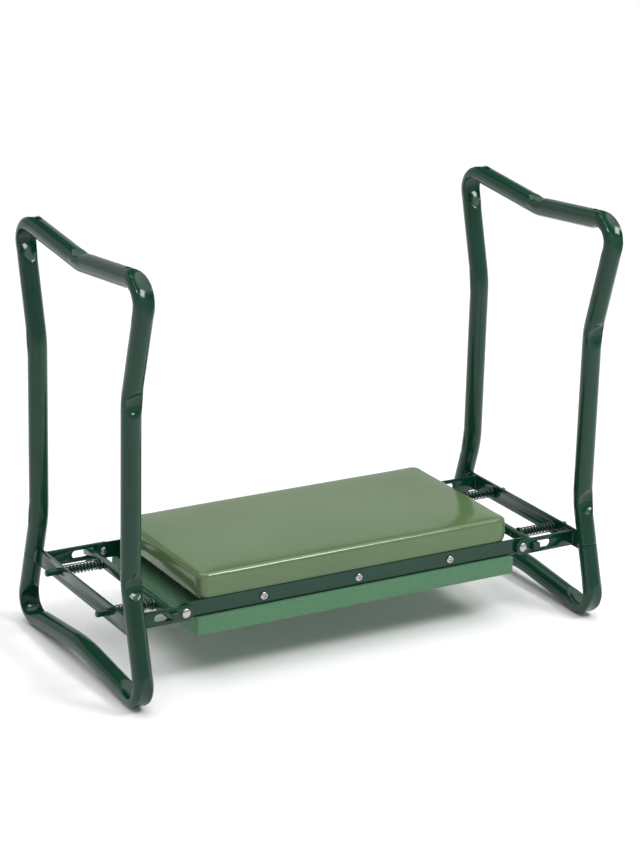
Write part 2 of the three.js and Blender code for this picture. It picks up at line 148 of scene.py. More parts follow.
class StageSettings(bpy.types.PropertyGroup):
    """Camera, floor and lights."""

    azimuth: degrees("Camera azimuth", 30.51, "Turn of the camera to the left of the front")
    elevation: degrees("Camera elevation", 18.78, "Angle of the camera above the level")
    roll: degrees("Camera roll", 1.52, "Tilt of the camera about its own axis")
    distance: metres("Camera distance", 3.02, "Distance from the camera to what it looks at")
    target_x: metres("Target along the seat", 0.0043, "Where the camera looks, along the seat")
    target_z: metres("Target height", 0.234, "Where the camera looks, above the floor")
    lens: bpy.props.FloatProperty(
        name="Lens", description="Focal length for a sensor 36 mm wide",
        default=150.1, unit="CAMERA")
    floor: tint("Floor", (0.90, 0.90, 0.90), "Colour of the studio floor")


# ---------------------------------------------------------------- workshop

def to_edit_mode():
    bpy.ops.object.mode_set(mode="EDIT")


def to_object_mode():
    bpy.ops.object.mode_set(mode="OBJECT")


def clear_pick():
    """Leave nothing selected, ready for a new primitive."""
    if bpy.context.object and bpy.context.object.mode != "OBJECT":
        to_object_mode()
    bpy.ops.object.select_all(action="DESELECT")


def pick_only(piece):
    """Make one object the selected and active one."""
    clear_pick()
    piece.select_set(True)
    bpy.context.view_layer.objects.active = piece


def new_piece(name):
    """Name the primitive that was just added."""
    piece = bpy.context.object
    piece.name = name
    piece.data.name = name
    return piece


def set_down(piece):
    """Put a piece's place into its mesh, with its origin at the world's."""
    pick_only(piece)
    bpy.ops.object.transform_apply(location=True, rotation=True, scale=True)


def block(name, low, high):
    """Box between two corners."""
    clear_pick()
    low, high = Vector(low), Vector(high)
    bpy.ops.mesh.primitive_cube_add(size=1, location=(low + high) / 2)
    piece = new_piece(name)
    piece.scale = high - low
    set_down(piece)
    return piece


def rod(name, start, end, radius, sides=48):
    """Round bar between two points."""
    clear_pick()
    start, end = Vector(start), Vector(end)
    along = end - start
    bpy.ops.mesh.primitive_cylinder_add(
        vertices=sides, radius=radius, depth=along.length, location=(start + end) / 2,
        rotation=along.to_track_quat("Z", "Y").to_euler())
    piece = new_piece(name)
    set_down(piece)
    return piece


def pick_vertices(piece, wanted):
    """In edit mode, select the vertices for which wanted(place) is true, and what they span."""
    mesh = bmesh.from_edit_mesh(piece.data)
    for vertex in mesh.verts:
        vertex.select = bool(wanted(vertex.co))
    mesh.select_flush_mode()
    mesh.select_flush(True)
    for part in list(mesh.edges) + list(mesh.faces):
        part.select = all(vertex.select for vertex in part.verts)
    bmesh.update_edit_mesh(piece.data)


def pick_edges(piece, wanted):
    """In edit mode, select the edges for which wanted(start, end) is true."""
    mesh = bmesh.from_edit_mesh(piece.data)
    for part in list(mesh.faces) + list(mesh.edges) + list(mesh.verts):
        part.select = False
    for edge in mesh.edges:
        if wanted(edge.verts[0].co, edge.verts[1].co):
            edge.select = True
    bmesh.update_edit_mesh(piece.data)


def pick_faces(piece, wanted):
    """In edit mode, select the faces for which wanted(middle, normal) is true."""
    mesh = bmesh.from_edit_mesh(piece.data)
    for face in mesh.faces:
        face.select = bool(wanted(face.calc_center_median(), face.normal))
    bmesh.update_edit_mesh(piece.data)


def cut_along(piece, axis, cuts):
    """Divide every edge that runs along an axis (0, 1 or 2) with evenly spaced cuts."""
    pick_only(piece)
    to_edit_mode()
    bpy.ops.mesh.select_mode(type="EDGE")
    pick_edges(piece, lambda a, b: abs((b - a).normalized()[axis]) > 0.999)
    bpy.ops.mesh.subdivide(number_cuts=cuts)
    to_object_mode()


def cut_across(piece, place, normal):
    """Cut a piece's faces where a plane meets them, leaving both sides."""
    pick_only(piece)
    to_edit_mode()
    bpy.ops.mesh.select_all(action="SELECT")
    bpy.ops.mesh.bisect(plane_co=place, plane_no=normal)
    to_object_mode()


def round_edges(piece, wanted, width, segments):
    """Bevel the edges for which wanted(start, end) is true."""
    pick_only(piece)
    to_edit_mode()
    bpy.ops.mesh.select_mode(type="EDGE")
    pick_edges(piece, wanted)
    bpy.ops.mesh.bevel(offset=width, segments=segments, affect="EDGES", clamp_overlap=True)
    to_object_mode()


def apply_modifier(piece, kind, **settings):
    """Add a modifier with its settings and apply it."""
    pick_only(piece)
    modifier = piece.modifiers.new(kind.title(), kind)
    for key, value in settings.items():
        setattr(modifier, key, value)
    bpy.ops.object.modifier_apply(modifier=modifier.name)


def combine(piece, tool, operation):
    """Join a tool shape to a piece or cut it away, and discard the tool."""
    apply_modifier(piece, "BOOLEAN", operation=operation, object=tool, solver="EXACT")
    bpy.data.objects.remove(tool, do_unlink=True)


def soften(piece, width=0.0004, angle=30, segments=2):
    """Round every sharp edge a little and smooth the shading between them."""
    apply_modifier(piece, "BEVEL", width=width, segments=segments, limit_method="ANGLE",
                   angle_limit=math.radians(angle), use_clamp_overlap=True, harden_normals=False)
    pick_only(piece)
    bpy.ops.object.shade_smooth_by_angle(angle=math.radians(35))


def merge_pieces(name, pieces):
    """Join several loose shells into one named piece."""
    pick_only(pieces[0])
    for piece in pieces[1:]:
        piece.select_set(True)
    bpy.ops.object.join()
    return new_piece(name)


def turned(name, place, axis, outline, sides=48):
    """Spin an outline of (distance along the axis, radius) points round an axis at a place."""
    clear_pick()
    along, radius = outline[0]
    bpy.ops.mesh.primitive_plane_add(size=MM, location=(radius, 0, along))
    piece = new_piece(name)
    set_down(piece)
    to_edit_mode()
    bpy.ops.mesh.select_mode(type="VERT")
    bpy.ops.mesh.select_all(action="SELECT")
    bpy.ops.mesh.merge(type="CENTER")
    for (from_along, from_radius), (to_along, to_radius) in zip(outline, outline[1:]):
        step = (to_radius - from_radius, 0, to_along - from_along)
        bpy.ops.mesh.extrude_vertices_move(TRANSFORM_OT_translate={"value": step})
    bpy.ops.mesh.select_all(action="SELECT")
    bpy.ops.mesh.spin(steps=sides, angle=math.tau, center=(0, 0, 0), axis=(0, 0, 1))
    bpy.ops.mesh.select_all(action="SELECT")
    bpy.ops.mesh.remove_doubles(threshold=1e-6)
    bpy.ops.mesh.normals_make_consistent(inside=False)
    to_object_mode()
    piece.rotation_euler = Vector(axis).to_track_quat("Z", "Y").to_euler()
    piece.location = place
    set_down(piece)
    bpy.ops.object.shade_smooth_by_angle(angle=math.radians(32))
    return piece


def copied(piece, name, turn, about=(0, 0, 0)):
    """Copy a piece with its own mesh, turned about a point, free of the nodes it stood for."""
    pick_only(piece)
    bpy.ops.object.duplicate(linked=False)
    copy = new_piece(name)
    for key in list(copy.keys()):
        del copy[key]
    about = Vector(about)
    copy.matrix_world = (Matrix.Translation(about) @ Euler(turn).to_matrix().to_4x4()
                         @ Matrix.Translation(-about))
    set_down(copy)
    return copy


def four_of(part, master):
    """Repeat a right rear piece at the other three corners, as {(end, edge): piece}."""
    front = copied(master, f"{part}_right_front", (math.pi, 0, 0), (0, 0, PIVOT.z))
    return {
        ("right", "rear"): master,
        ("right", "front"): front,
        ("left", "front"): copied(master, f"{part}_left_front", HALF_TURN),
        ("left", "rear"): copied(front, f"{part}_left_rear", HALF_TURN),
    }


def fit(piece, body, material, nodes=()):
    """Hand a finished piece its body and material, and hide the CAD nodes it stands for."""
    piece.data.materials.clear()
    piece.data.materials.append(material)
    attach(piece, body)
    if nodes:
        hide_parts(*nodes)
    return piece


def fit_pair(right, left_name, body, material, node=None):
    """Fit a green steel piece to the right body, and its half-turned copy to the left one."""
    left = copied(right, left_name, HALF_TURN)
    for end, piece in (("right", right), ("left", left)):
        fit(piece, f"{end}_{body}", material, [f"{end}_{node}"] if node else ())


def cut_cross(piece, middle, reach, depth, width):
    """Cut a cross into a face that looks along Y: half lengths of its arms along each axis."""
    for half in (Vector((reach, depth, width)), Vector((width, depth, reach))):
        combine(piece, block("cross", middle - half, middle + half), "DIFFERENCE")
    pick_only(piece)
    bpy.ops.object.shade_smooth_by_angle(angle=math.radians(32))


# ---------------------------------------------------------------- finishes

def empty_material(name):
    """New material with an empty node tree, with its nodes and links."""
    material = bpy.data.materials.new(name)
    material.use_nodes = True
    material.node_tree.nodes.clear()
    return material, material.node_tree.nodes, material.node_tree.links


def shade(colour, share):
    """A colour made darker or paler, with alpha."""
    return (*[min(1, part * share) for part in colour], 1)


def set_out(columns):
    """Lay nodes out in columns, left to right."""
    for i, column in enumerate(columns):
        for k, node in enumerate(column):
            node.location = (i * 240, -k * 260)


def coated_finish(name, colour, roughness, gloss):
    """Glossy powder coat: faint orange peel, slow drifts of tone and tiny dust nibs."""
    material, nodes, links = empty_material(name)

    tone_frame = nodes.new("NodeFrame")
    tone_frame.label = "Tone of the coat"
    gloss_frame = nodes.new("NodeFrame")
    gloss_frame.label = "Gloss"
    relief_frame = nodes.new("NodeFrame")
    relief_frame.label = "Orange peel and nibs"

    place = nodes.new("ShaderNodeTexCoord")
    place.label = "Place on the part"

    drift = nodes.new("ShaderNodeTexNoise")
    drift.label = "Slow drift of coat thickness"
    drift.parent = tone_frame
    drift.inputs["Scale"].default_value = 11
    drift.inputs["Detail"].default_value = 3
    drift_tone = nodes.new("ShaderNodeValToRGB")
    drift_tone.label = "Thin coat to full coat"
    drift_tone.parent = tone_frame
    first, last = drift_tone.color_ramp.elements
    first.position, first.color = 0.3, shade(colour, 0.86)
    last.position, last.color = 0.7, shade(colour, 1.12)
    grain = nodes.new("ShaderNodeTexNoise")
    grain.label = "Powder grain"
    grain.parent = tone_frame
    grain.inputs["Scale"].default_value = 1500
    grain.inputs["Detail"].default_value = 1
    grain_mix = nodes.new("ShaderNodeMix")
    grain_mix.label = "Grain over tone"
    grain_mix.parent = tone_frame
    grain_mix.data_type = "RGBA"
    grain_mix.blend_type = "OVERLAY"
    grain_mix.inputs["Factor"].default_value = 0.12

    smear = nodes.new("ShaderNodeTexNoise")
    smear.label = "Handling smears"
    smear.parent = gloss_frame
    smear.inputs["Scale"].default_value = 34
    smear.inputs["Detail"].default_value = 4
    smear_range = nodes.new("ShaderNodeMapRange")
    smear_range.label = "Smears to roughness"
    smear_range.parent = gloss_frame
    smear_range.inputs["To Min"].default_value = roughness - 0.03
    smear_range.inputs["To Max"].default_value = roughness + 0.05

    peel = nodes.new("ShaderNodeTexNoise")
    peel.label = "Orange peel"
    peel.parent = relief_frame
    peel.inputs["Scale"].default_value = 420
    peel.inputs["Detail"].default_value = 1
    nibs = nodes.new("ShaderNodeTexVoronoi")
    nibs.label = "Dust nibs"
    nibs.parent = relief_frame
    nibs.inputs["Scale"].default_value = 130
    nib_caps = nodes.new("ShaderNodeMapRange")
    nib_caps.label = "Only the nib tips"
    nib_caps.parent = relief_frame
    nib_caps.inputs["From Min"].default_value = 0.0
    nib_caps.inputs["From Max"].default_value = 0.08
    nib_caps.inputs["To Min"].default_value = 1.0
    nib_caps.inputs["To Max"].default_value = 0.0
    peel_bump = nodes.new("ShaderNodeBump")
    peel_bump.label = "Peel relief"
    peel_bump.parent = relief_frame
    peel_bump.inputs["Strength"].default_value = 0.10
    peel_bump.inputs["Distance"].default_value = 0.0002
    nib_bump = nodes.new("ShaderNodeBump")
    nib_bump.label = "Nib relief"
    nib_bump.parent = relief_frame
    nib_bump.inputs["Strength"].default_value = 0.10
    nib_bump.inputs["Distance"].default_value = 0.0001

    shader = nodes.new("ShaderNodeBsdfPrincipled")
    shader.label = "Powder coat"
    shader.inputs["IOR"].default_value = 1.5
    shader.inputs["Specular IOR Level"].default_value = gloss
    output = nodes.new("ShaderNodeOutputMaterial")
    output.label = "Finished surface"

    for texture in (drift, grain, smear, peel, nibs):
        links.new(place.outputs["Object"], texture.inputs["Vector"])
    links.new(drift.outputs["Fac"], drift_tone.inputs["Fac"])
    links.new(drift_tone.outputs["Color"], grain_mix.inputs["A"])
    links.new(grain.outputs["Color"], grain_mix.inputs["B"])
    links.new(grain_mix.outputs["Result"], shader.inputs["Base Color"])
    links.new(smear.outputs["Fac"], smear_range.inputs["Value"])
    links.new(smear_range.outputs["Result"], shader.inputs["Roughness"])
    links.new(peel.outputs["Fac"], peel_bump.inputs["Height"])
    links.new(nibs.outputs["Distance"], nib_caps.inputs["Value"])
    links.new(nib_caps.outputs["Result"], nib_bump.inputs["Height"])
    links.new(peel_bump.outputs["Normal"], nib_bump.inputs["Normal"])
    links.new(nib_bump.outputs["Normal"], shader.inputs["Normal"])
    links.new(shader.outputs["BSDF"], output.inputs["Surface"])
    set_out([[place], [drift, smear, peel, nibs, grain], [drift_tone, smear_range, nib_caps],
             [grain_mix, peel_bump], [nib_bump], [shader], [output]])
    return material


def skin_finish(name, colour):
    """Glossy moulded skin of the pad: close pores, soft hills and rubbed patches."""
    material, nodes, links = empty_material(name)

    tone_frame = nodes.new("NodeFrame")
    tone_frame.label = "Tone of the skin"
    gloss_frame = nodes.new("NodeFrame")
    gloss_frame.label = "Gloss"
    relief_frame = nodes.new("NodeFrame")
    relief_frame.label = "Hills and pores"

    place = nodes.new("ShaderNodeTexCoord")
    place.label = "Place on the pad"

    cloud = nodes.new("ShaderNodeTexNoise")
    cloud.label = "Uneven dye"
    cloud.parent = tone_frame
    cloud.inputs["Scale"].default_value = 9
    cloud.inputs["Detail"].default_value = 4
    cloud_tone = nodes.new("ShaderNodeValToRGB")
    cloud_tone.label = "Deep to pale green"
    cloud_tone.parent = tone_frame
    first, last = cloud_tone.color_ramp.elements
    first.position, first.color = 0.3, shade(colour, 0.93)
    last.position, last.color = 0.7, shade(colour, 1.07)

    rub = nodes.new("ShaderNodeTexNoise")
    rub.label = "Rubbed patches"
    rub.parent = gloss_frame
    rub.inputs["Scale"].default_value = 16
    rub.inputs["Detail"].default_value = 5
    rub_range = nodes.new("ShaderNodeMapRange")
    rub_range.label = "Rubbing to roughness"
    rub_range.parent = gloss_frame
    rub_range.inputs["To Min"].default_value = 0.09
    rub_range.inputs["To Max"].default_value = 0.15

    hills = nodes.new("ShaderNodeTexNoise")
    hills.label = "Soft hills over the foam"
    hills.parent = relief_frame
    hills.inputs["Scale"].default_value = 13
    hills.inputs["Detail"].default_value = 1
    pores = nodes.new("ShaderNodeTexVoronoi")
    pores.label = "Pores of the grain"
    pores.parent = relief_frame
    pores.inputs["Scale"].default_value = 900
    hill_bump = nodes.new("ShaderNodeBump")
    hill_bump.label = "Hill relief"
    hill_bump.parent = relief_frame
    hill_bump.inputs["Strength"].default_value = 0.15
    hill_bump.inputs["Distance"].default_value = 0.002
    pore_bump = nodes.new("ShaderNodeBump")
    pore_bump.label = "Pore relief"
    pore_bump.parent = relief_frame
    pore_bump.inputs["Strength"].default_value = 0.05
    pore_bump.inputs["Distance"].default_value = 0.0003

    shader = nodes.new("ShaderNodeBsdfPrincipled")
    shader.label = "Pad skin"
    shader.inputs["IOR"].default_value = 1.5
    output = nodes.new("ShaderNodeOutputMaterial")
    output.label = "Finished surface"

    for texture in (cloud, rub, hills, pores):
        links.new(place.outputs["Object"], texture.inputs["Vector"])
    links.new(cloud.outputs["Fac"], cloud_tone.inputs["Fac"])
    links.new(cloud_tone.outputs["Color"], shader.inputs["Base Color"])
    links.new(rub.outputs["Fac"], rub_range.inputs["Value"])
    links.new(rub_range.outputs["Result"], shader.inputs["Roughness"])
    links.new(hills.outputs["Fac"], hill_bump.inputs["Height"])
    links.new(pores.outputs["Distance"], pore_bump.inputs["Height"])
    links.new(hill_bump.outputs["Normal"], pore_bump.inputs["Normal"])
    links.new(pore_bump.outputs["Normal"], shader.inputs["Normal"])
    links.new(shader.outputs["BSDF"], output.inputs["Surface"])
    set_out([[place], [cloud, rub, hills, pores], [cloud_tone, rub_range, hill_bump],
             [pore_bump], [shader], [output]])
    return material


def foam_finish(name, colour, cells):
    """Dry closed-cell foam: cut cells, speckle and slow blotches, with cells across one metre."""
    material, nodes, links = empty_material(name)

    tone_frame = nodes.new("NodeFrame")
    tone_frame.label = "Tone of the foam"
    relief_frame = nodes.new("NodeFrame")
    relief_frame.label = "Cut cells"

    place = nodes.new("ShaderNodeTexCoord")
    place.label = "Place on the foam"

    speckle = nodes.new("ShaderNodeTexNoise")
    speckle.label = "Cell speckle"
    speckle.parent = tone_frame
    speckle.inputs["Scale"].default_value = cells * 0.6
    speckle.inputs["Detail"].default_value = 3
    speckle_tone = nodes.new("ShaderNodeValToRGB")
    speckle_tone.label = "Cell walls to cell mouths"
    speckle_tone.parent = tone_frame
    first, last = speckle_tone.color_ramp.elements
    first.position, first.color = 0.35, shade(colour, 0.82)
    last.position, last.color = 0.65, shade(colour, 1.14)
    blotch = nodes.new("ShaderNodeTexNoise")
    blotch.label = "Slow blotches"
    blotch.parent = tone_frame
    blotch.inputs["Scale"].default_value = 22
    blotch_range = nodes.new("ShaderNodeMapRange")
    blotch_range.label = "Blotches to brightness"
    blotch_range.parent = tone_frame
    blotch_range.inputs["To Min"].default_value = 0.92
    blotch_range.inputs["To Max"].default_value = 1.07
    blotch_mix = nodes.new("ShaderNodeMix")
    blotch_mix.label = "Blotches over speckle"
    blotch_mix.parent = tone_frame
    blotch_mix.data_type = "RGBA"
    blotch_mix.blend_type = "MULTIPLY"
    blotch_mix.inputs["Factor"].default_value = 1.0

    cut_cells = nodes.new("ShaderNodeTexVoronoi")
    cut_cells.label = "Cells of the foam"
    cut_cells.parent = relief_frame
    cut_cells.inputs["Scale"].default_value = cells
    press = nodes.new("ShaderNodeTexNoise")
    press.label = "Press marks"
    press.parent = relief_frame
    press.inputs["Scale"].default_value = 70
    press.inputs["Detail"].default_value = 3
    cell_bump = nodes.new("ShaderNodeBump")
    cell_bump.label = "Cell relief"
    cell_bump.parent = relief_frame
    cell_bump.inputs["Strength"].default_value = 0.35
    cell_bump.inputs["Distance"].default_value = 0.0005
    press_bump = nodes.new("ShaderNodeBump")
    press_bump.label = "Press relief"
    press_bump.parent = relief_frame
    press_bump.inputs["Strength"].default_value = 0.15
    press_bump.inputs["Distance"].default_value = 0.0006

    shader = nodes.new("ShaderNodeBsdfPrincipled")
    shader.label = "Foam"
    shader.inputs["Roughness"].default_value = 0.9
    shader.inputs["Sheen Weight"].default_value = 0.12
    shader.inputs["Sheen Roughness"].default_value = 0.6
    output = nodes.new("ShaderNodeOutputMaterial")
    output.label = "Finished surface"

    for texture in (speckle, blotch, cut_cells, press):
        links.new(place.outputs["Object"], texture.inputs["Vector"])
    links.new(speckle.outputs["Fac"], speckle_tone.inputs["Fac"])
    links.new(blotch.outputs["Fac"], blotch_range.inputs["Value"])
    links.new(speckle_tone.outputs["Color"], blotch_mix.inputs["A"])
    links.new(blotch_range.outputs["Result"], blotch_mix.inputs["B"])
    links.new(blotch_mix.outputs["Result"], shader.inputs["Base Color"])
    links.new(press.outputs["Fac"], press_bump.inputs["Height"])
    links.new(cut_cells.outputs["Distance"], cell_bump.inputs["Height"])
    links.new(press_bump.outputs["Normal"], cell_bump.inputs["Normal"])
    links.new(cell_bump.outputs["Normal"], shader.inputs["Normal"])
    links.new(shader.outputs["BSDF"], output.inputs["Surface"])
    set_out([[place], [speckle, blotch, cut_cells, press], [speckle_tone, blotch_range, press_bump],
             [blotch_mix, cell_bump], [shader], [output]])
    return material


def cloth_finish(name, colour):
    """Thin black backing cloth: plain weave, pilling and a little lint."""
    material, nodes, links = empty_material(name)

    tone_frame = nodes.new("NodeFrame")
    tone_frame.label = "Tone of the cloth"
    weave_frame = nodes.new("NodeFrame")
    weave_frame.label = "Weave"

    place = nodes.new("ShaderNodeTexCoord")
    place.label = "Place on the cloth"

    lint = nodes.new("ShaderNodeTexNoise")
    lint.label = "Lint and fade"
    lint.parent = tone_frame
    lint.inputs["Scale"].default_value = 160
    lint.inputs["Detail"].default_value = 6
    lint_tone = nodes.new("ShaderNodeValToRGB")
    lint_tone.label = "Black to dusty grey"
    lint_tone.parent = tone_frame
    first, last = lint_tone.color_ramp.elements
    first.position, first.color = 0.4, (*colour, 1)
    last.position, last.color = 0.8, shade(colour, 2.4)

    warp = nodes.new("ShaderNodeTexWave")
    warp.label = "Warp threads"
    warp.parent = weave_frame
    warp.bands_direction = "DIAGONAL"
    warp.inputs["Scale"].default_value = 260
    warp.inputs["Distortion"].default_value = 0.8
    weft = nodes.new("ShaderNodeTexWave")
    weft.label = "Weft threads"
    weft.parent = weave_frame
    weft.bands_direction = "Z"
    weft.inputs["Scale"].default_value = 430
    weft.inputs["Distortion"].default_value = 0.8
    crossing = nodes.new("ShaderNodeMath")
    crossing.label = "Threads over and under"
    crossing.parent = weave_frame
    crossing.operation = "MULTIPLY"
    weave_bump = nodes.new("ShaderNodeBump")
    weave_bump.label = "Weave relief"
    weave_bump.parent = weave_frame
    weave_bump.inputs["Strength"].default_value = 0.5
    weave_bump.inputs["Distance"].default_value = 0.0003

    shader = nodes.new("ShaderNodeBsdfPrincipled")
    shader.label = "Backing cloth"
    shader.inputs["Roughness"].default_value = 0.8
    shader.inputs["Sheen Weight"].default_value = 0.35
    shader.inputs["Sheen Roughness"].default_value = 0.45
    output = nodes.new("ShaderNodeOutputMaterial")
    output.label = "Finished surface"

    for texture in (lint, warp, weft):
        links.new(place.outputs["Object"], texture.inputs["Vector"])
    links.new(lint.outputs["Fac"], lint_tone.inputs["Fac"])
    links.new(lint_tone.outputs["Color"], shader.inputs["Base Color"])
    links.new(warp.outputs["Fac"], crossing.inputs[0])
    links.new(weft.outputs["Fac"], crossing.inputs[1])
    links.new(crossing.outputs["Value"], weave_bump.inputs["Height"])
    links.new(weave_bump.outputs["Normal"], shader.inputs["Normal"])
    links.new(shader.outputs["BSDF"], output.inputs["Surface"])
    set_out([[place], [lint, warp, weft], [lint_tone, crossing], [weave_bump], [shader], [output]])
    return material


def metal_finish(name, colour, roughness):
    """Bare or plated steel: drawn lines, dull spots and slight pitting."""
    material, nodes, links = empty_material(name)

    tone_frame = nodes.new("NodeFrame")
    tone_frame.label = "Tone of the plating"
    gloss_frame = nodes.new("NodeFrame")
    gloss_frame.label = "Drawn lines"
    relief_frame = nodes.new("NodeFrame")
    relief_frame.label = "Pitting"

    place = nodes.new("ShaderNodeTexCoord")
    place.label = "Place on the metal"

    dull = nodes.new("ShaderNodeTexNoise")
    dull.label = "Dull spots"
    dull.parent = tone_frame
    dull.inputs["Scale"].default_value = 260
    dull.inputs["Detail"].default_value = 3
    dull_tone = nodes.new("ShaderNodeValToRGB")
    dull_tone.label = "Dull to bright"
    dull_tone.parent = tone_frame
    first, last = dull_tone.color_ramp.elements
    first.position, first.color = 0.3, shade(colour, 0.75)
    last.position, last.color = 0.62, shade(colour, 1.1)

    stretch = nodes.new("ShaderNodeMapping")
    stretch.label = "Stretch along X"
    stretch.parent = gloss_frame
    stretch.inputs["Scale"].default_value = (120, 1800, 1800)
    lines = nodes.new("ShaderNodeTexNoise")
    lines.label = "Drawn lines"
    lines.parent = gloss_frame
    lines.inputs["Scale"].default_value = 1
    lines.inputs["Detail"].default_value = 2
    line_range = nodes.new("ShaderNodeMapRange")
    line_range.label = "Lines to roughness"
    line_range.parent = gloss_frame
    line_range.inputs["To Min"].default_value = roughness - 0.08
    line_range.inputs["To Max"].default_value = roughness + 0.12

    pits = nodes.new("ShaderNodeTexVoronoi")
    pits.label = "Pits"
    pits.parent = relief_frame
    pits.inputs["Scale"].default_value = 1100
    pit_bump = nodes.new("ShaderNodeBump")
    pit_bump.label = "Pit relief"
    pit_bump.parent = relief_frame
    pit_bump.inputs["Strength"].default_value = 0.06
    pit_bump.inputs["Distance"].default_value = 0.0002

    shader = nodes.new("ShaderNodeBsdfPrincipled")
    shader.label = "Steel"
    shader.inputs["Metallic"].default_value = 1.0
    output = nodes.new("ShaderNodeOutputMaterial")
    output.label = "Finished surface"

    for texture in (dull, stretch, pits):
        links.new(place.outputs["Object"], texture.inputs["Vector"])
    links.new(dull.outputs["Fac"], dull_tone.inputs["Fac"])
    links.new(dull_tone.outputs["Color"], shader.inputs["Base Color"])
    links.new(stretch.outputs["Vector"], lines.inputs["Vector"])
    links.new(lines.outputs["Fac"], line_range.inputs["Value"])
    links.new(line_range.outputs["Result"], shader.inputs["Roughness"])
    links.new(pits.outputs["Distance"], pit_bump.inputs["Height"])
    links.new(pit_bump.outputs["Normal"], shader.inputs["Normal"])
    links.new(shader.outputs["BSDF"], output.inputs["Surface"])
    set_out([[place], [dull, stretch, pits], [dull_tone, lines, pit_bump], [line_range],
             [shader], [output]])
    return material


def wood_finish(name):
    """Rough plywood of the hidden base board."""
    material, nodes, links = empty_material(name)

    tone_frame = nodes.new("NodeFrame")
    tone_frame.label = "Grain of the veneer"
    relief_frame = nodes.new("NodeFrame")
    relief_frame.label = "Open pores"

    place = nodes.new("ShaderNodeTexCoord")
    place.label = "Place on the board"
    stretch = nodes.new("ShaderNodeMapping")
    stretch.label = "Grain runs along X"
    stretch.parent = tone_frame
    stretch.inputs["Scale"].default_value = (6, 60, 190)
    grain = nodes.new("ShaderNodeTexNoise")
    grain.label = "Veneer grain"
    grain.parent = tone_frame
    grain.inputs["Scale"].default_value = 1
    grain.inputs["Detail"].default_value = 8
    grain.inputs["Distortion"].default_value = 0.8
    grain_tone = nodes.new("ShaderNodeValToRGB")
    grain_tone.label = "Late wood to early wood"
    grain_tone.parent = tone_frame
    first, last = grain_tone.color_ramp.elements
    first.position, first.color = 0.32, (0.20, 0.105, 0.045, 1)
    last.position, last.color = 0.68, (0.46, 0.30, 0.15, 1)
    pore_bump = nodes.new("ShaderNodeBump")
    pore_bump.label = "Pore relief"
    pore_bump.parent = relief_frame
    pore_bump.inputs["Strength"].default_value = 0.3
    pore_bump.inputs["Distance"].default_value = 0.0004

    shader = nodes.new("ShaderNodeBsdfPrincipled")
    shader.label = "Plywood"
    shader.inputs["Roughness"].default_value = 0.75
    output = nodes.new("ShaderNodeOutputMaterial")
    output.label = "Finished surface"

    links.new(place.outputs["Object"], stretch.inputs["Vector"])
    links.new(stretch.outputs["Vector"], grain.inputs["Vector"])
    links.new(grain.outputs["Fac"], grain_tone.inputs["Fac"])
    links.new(grain_tone.outputs["Color"], shader.inputs["Base Color"])
    links.new(grain.outputs["Fac"], pore_bump.inputs["Height"])
    links.new(pore_bump.outputs["Normal"], shader.inputs["Normal"])
    links.new(shader.outputs["BSDF"], output.inputs["Surface"])
    set_out([[place], [stretch], [grain], [grain_tone, pore_bump], [shader], [output]])
    return material


def floor_finish(name, colour):
    """Plain pale studio floor with a faint unevenness."""
    material, nodes, links = empty_material(name)
    place = nodes.new("ShaderNodeTexCoord")
    place.label = "Place on the floor"
    cloud = nodes.new("ShaderNodeTexNoise")
    cloud.label = "Faint unevenness"
    cloud.inputs["Scale"].default_value = 1.5
    cloud_tone = nodes.new("ShaderNodeValToRGB")
    cloud_tone.label = "Pale to paler"
    cloud_tone.color_ramp.elements[0].color = shade(colour, 0.99)
    cloud_tone.color_ramp.elements[1].color = (*colour, 1)
    shader = nodes.new("ShaderNodeBsdfPrincipled")
    shader.label = "Floor"
    shader.inputs["Roughness"].default_value = 0.9
    shader.inputs["Specular IOR Level"].default_value = 0.1
    output = nodes.new("ShaderNodeOutputMaterial")
    output.label = "Finished surface"
    links.new(place.outputs["Object"], cloud.inputs["Vector"])
    links.new(cloud.outputs["Fac"], cloud_tone.inputs["Fac"])
    links.new(cloud_tone.outputs["Color"], shader.inputs["Base Color"])
    links.new(shader.outputs["BSDF"], output.inputs["Surface"])
    set_out([[place], [cloud], [cloud_tone], [shader], [output]])
    return material


def finish(name):
    """The named finish, made the first time it is asked for."""
    if name in bpy.data.materials:
        return bpy.data.materials[name]
    colours = bpy.context.scene.kneeler_finish
    makers = {
        "powder_coat": (coated_finish, colours.coat, 0.11, 0.36),
        "weld_coat": (coated_finish, colours.coat, 0.24, 0.5),
        "glossy_skin": (skin_finish, colours.skin),
        "board_foam": (foam_finish, colours.foam, 1300),
        "pad_filling": (foam_finish, (0.62, 0.58, 0.38), 700),
        "gathered_cloth": (cloth_finish, colours.cloth),
        "plated_steel": (metal_finish, colours.bright, 0.22),
        "coil_steel": (metal_finish, colours.spring, 0.32),
        "plywood": (wood_finish,),
    }
    maker, *look = makers[name]
    return maker(name, *look)


# ---------------------------------------------------------------- hoops

def hoop_corners():
    """Corners of a hoop's centre line as (place, bend radius), from its seam over the handle."""
    sizes = bpy.context.scene.kneeler_hoop
    spread = sizes.foot_half_width - sizes.waist_half_width
    drop = sizes.knee_height - sizes.foot_height
    seam_y = sizes.waist_half_width + (sizes.knee_height - PIVOT.z) * spread / drop
    side = [
        (sizes.waist_half_width, sizes.knee_height, 0.110),
        (sizes.waist_half_width, sizes.waist_height, 0.090),
        (sizes.handle_half_width, sizes.handle_height, 0.023),
    ]
    feet = (sizes.foot_half_width, sizes.foot_height, 0.022)
    corners = [(-seam_y, PIVOT.z, 0)]
    corners += [(-y, z, bend) for y, z, bend in side]
    corners += [(0, sizes.dip_height, 0.060)]
    corners += side[::-1]
    corners += [feet, (0, sizes.bow_height, 0.260), (-feet[0], feet[1], feet[2])]
    corners += [(-seam_y, PIVOT.z, 0)]
    return [(Vector((HOOP_X, y, z)), bend) for y, z, bend in corners]


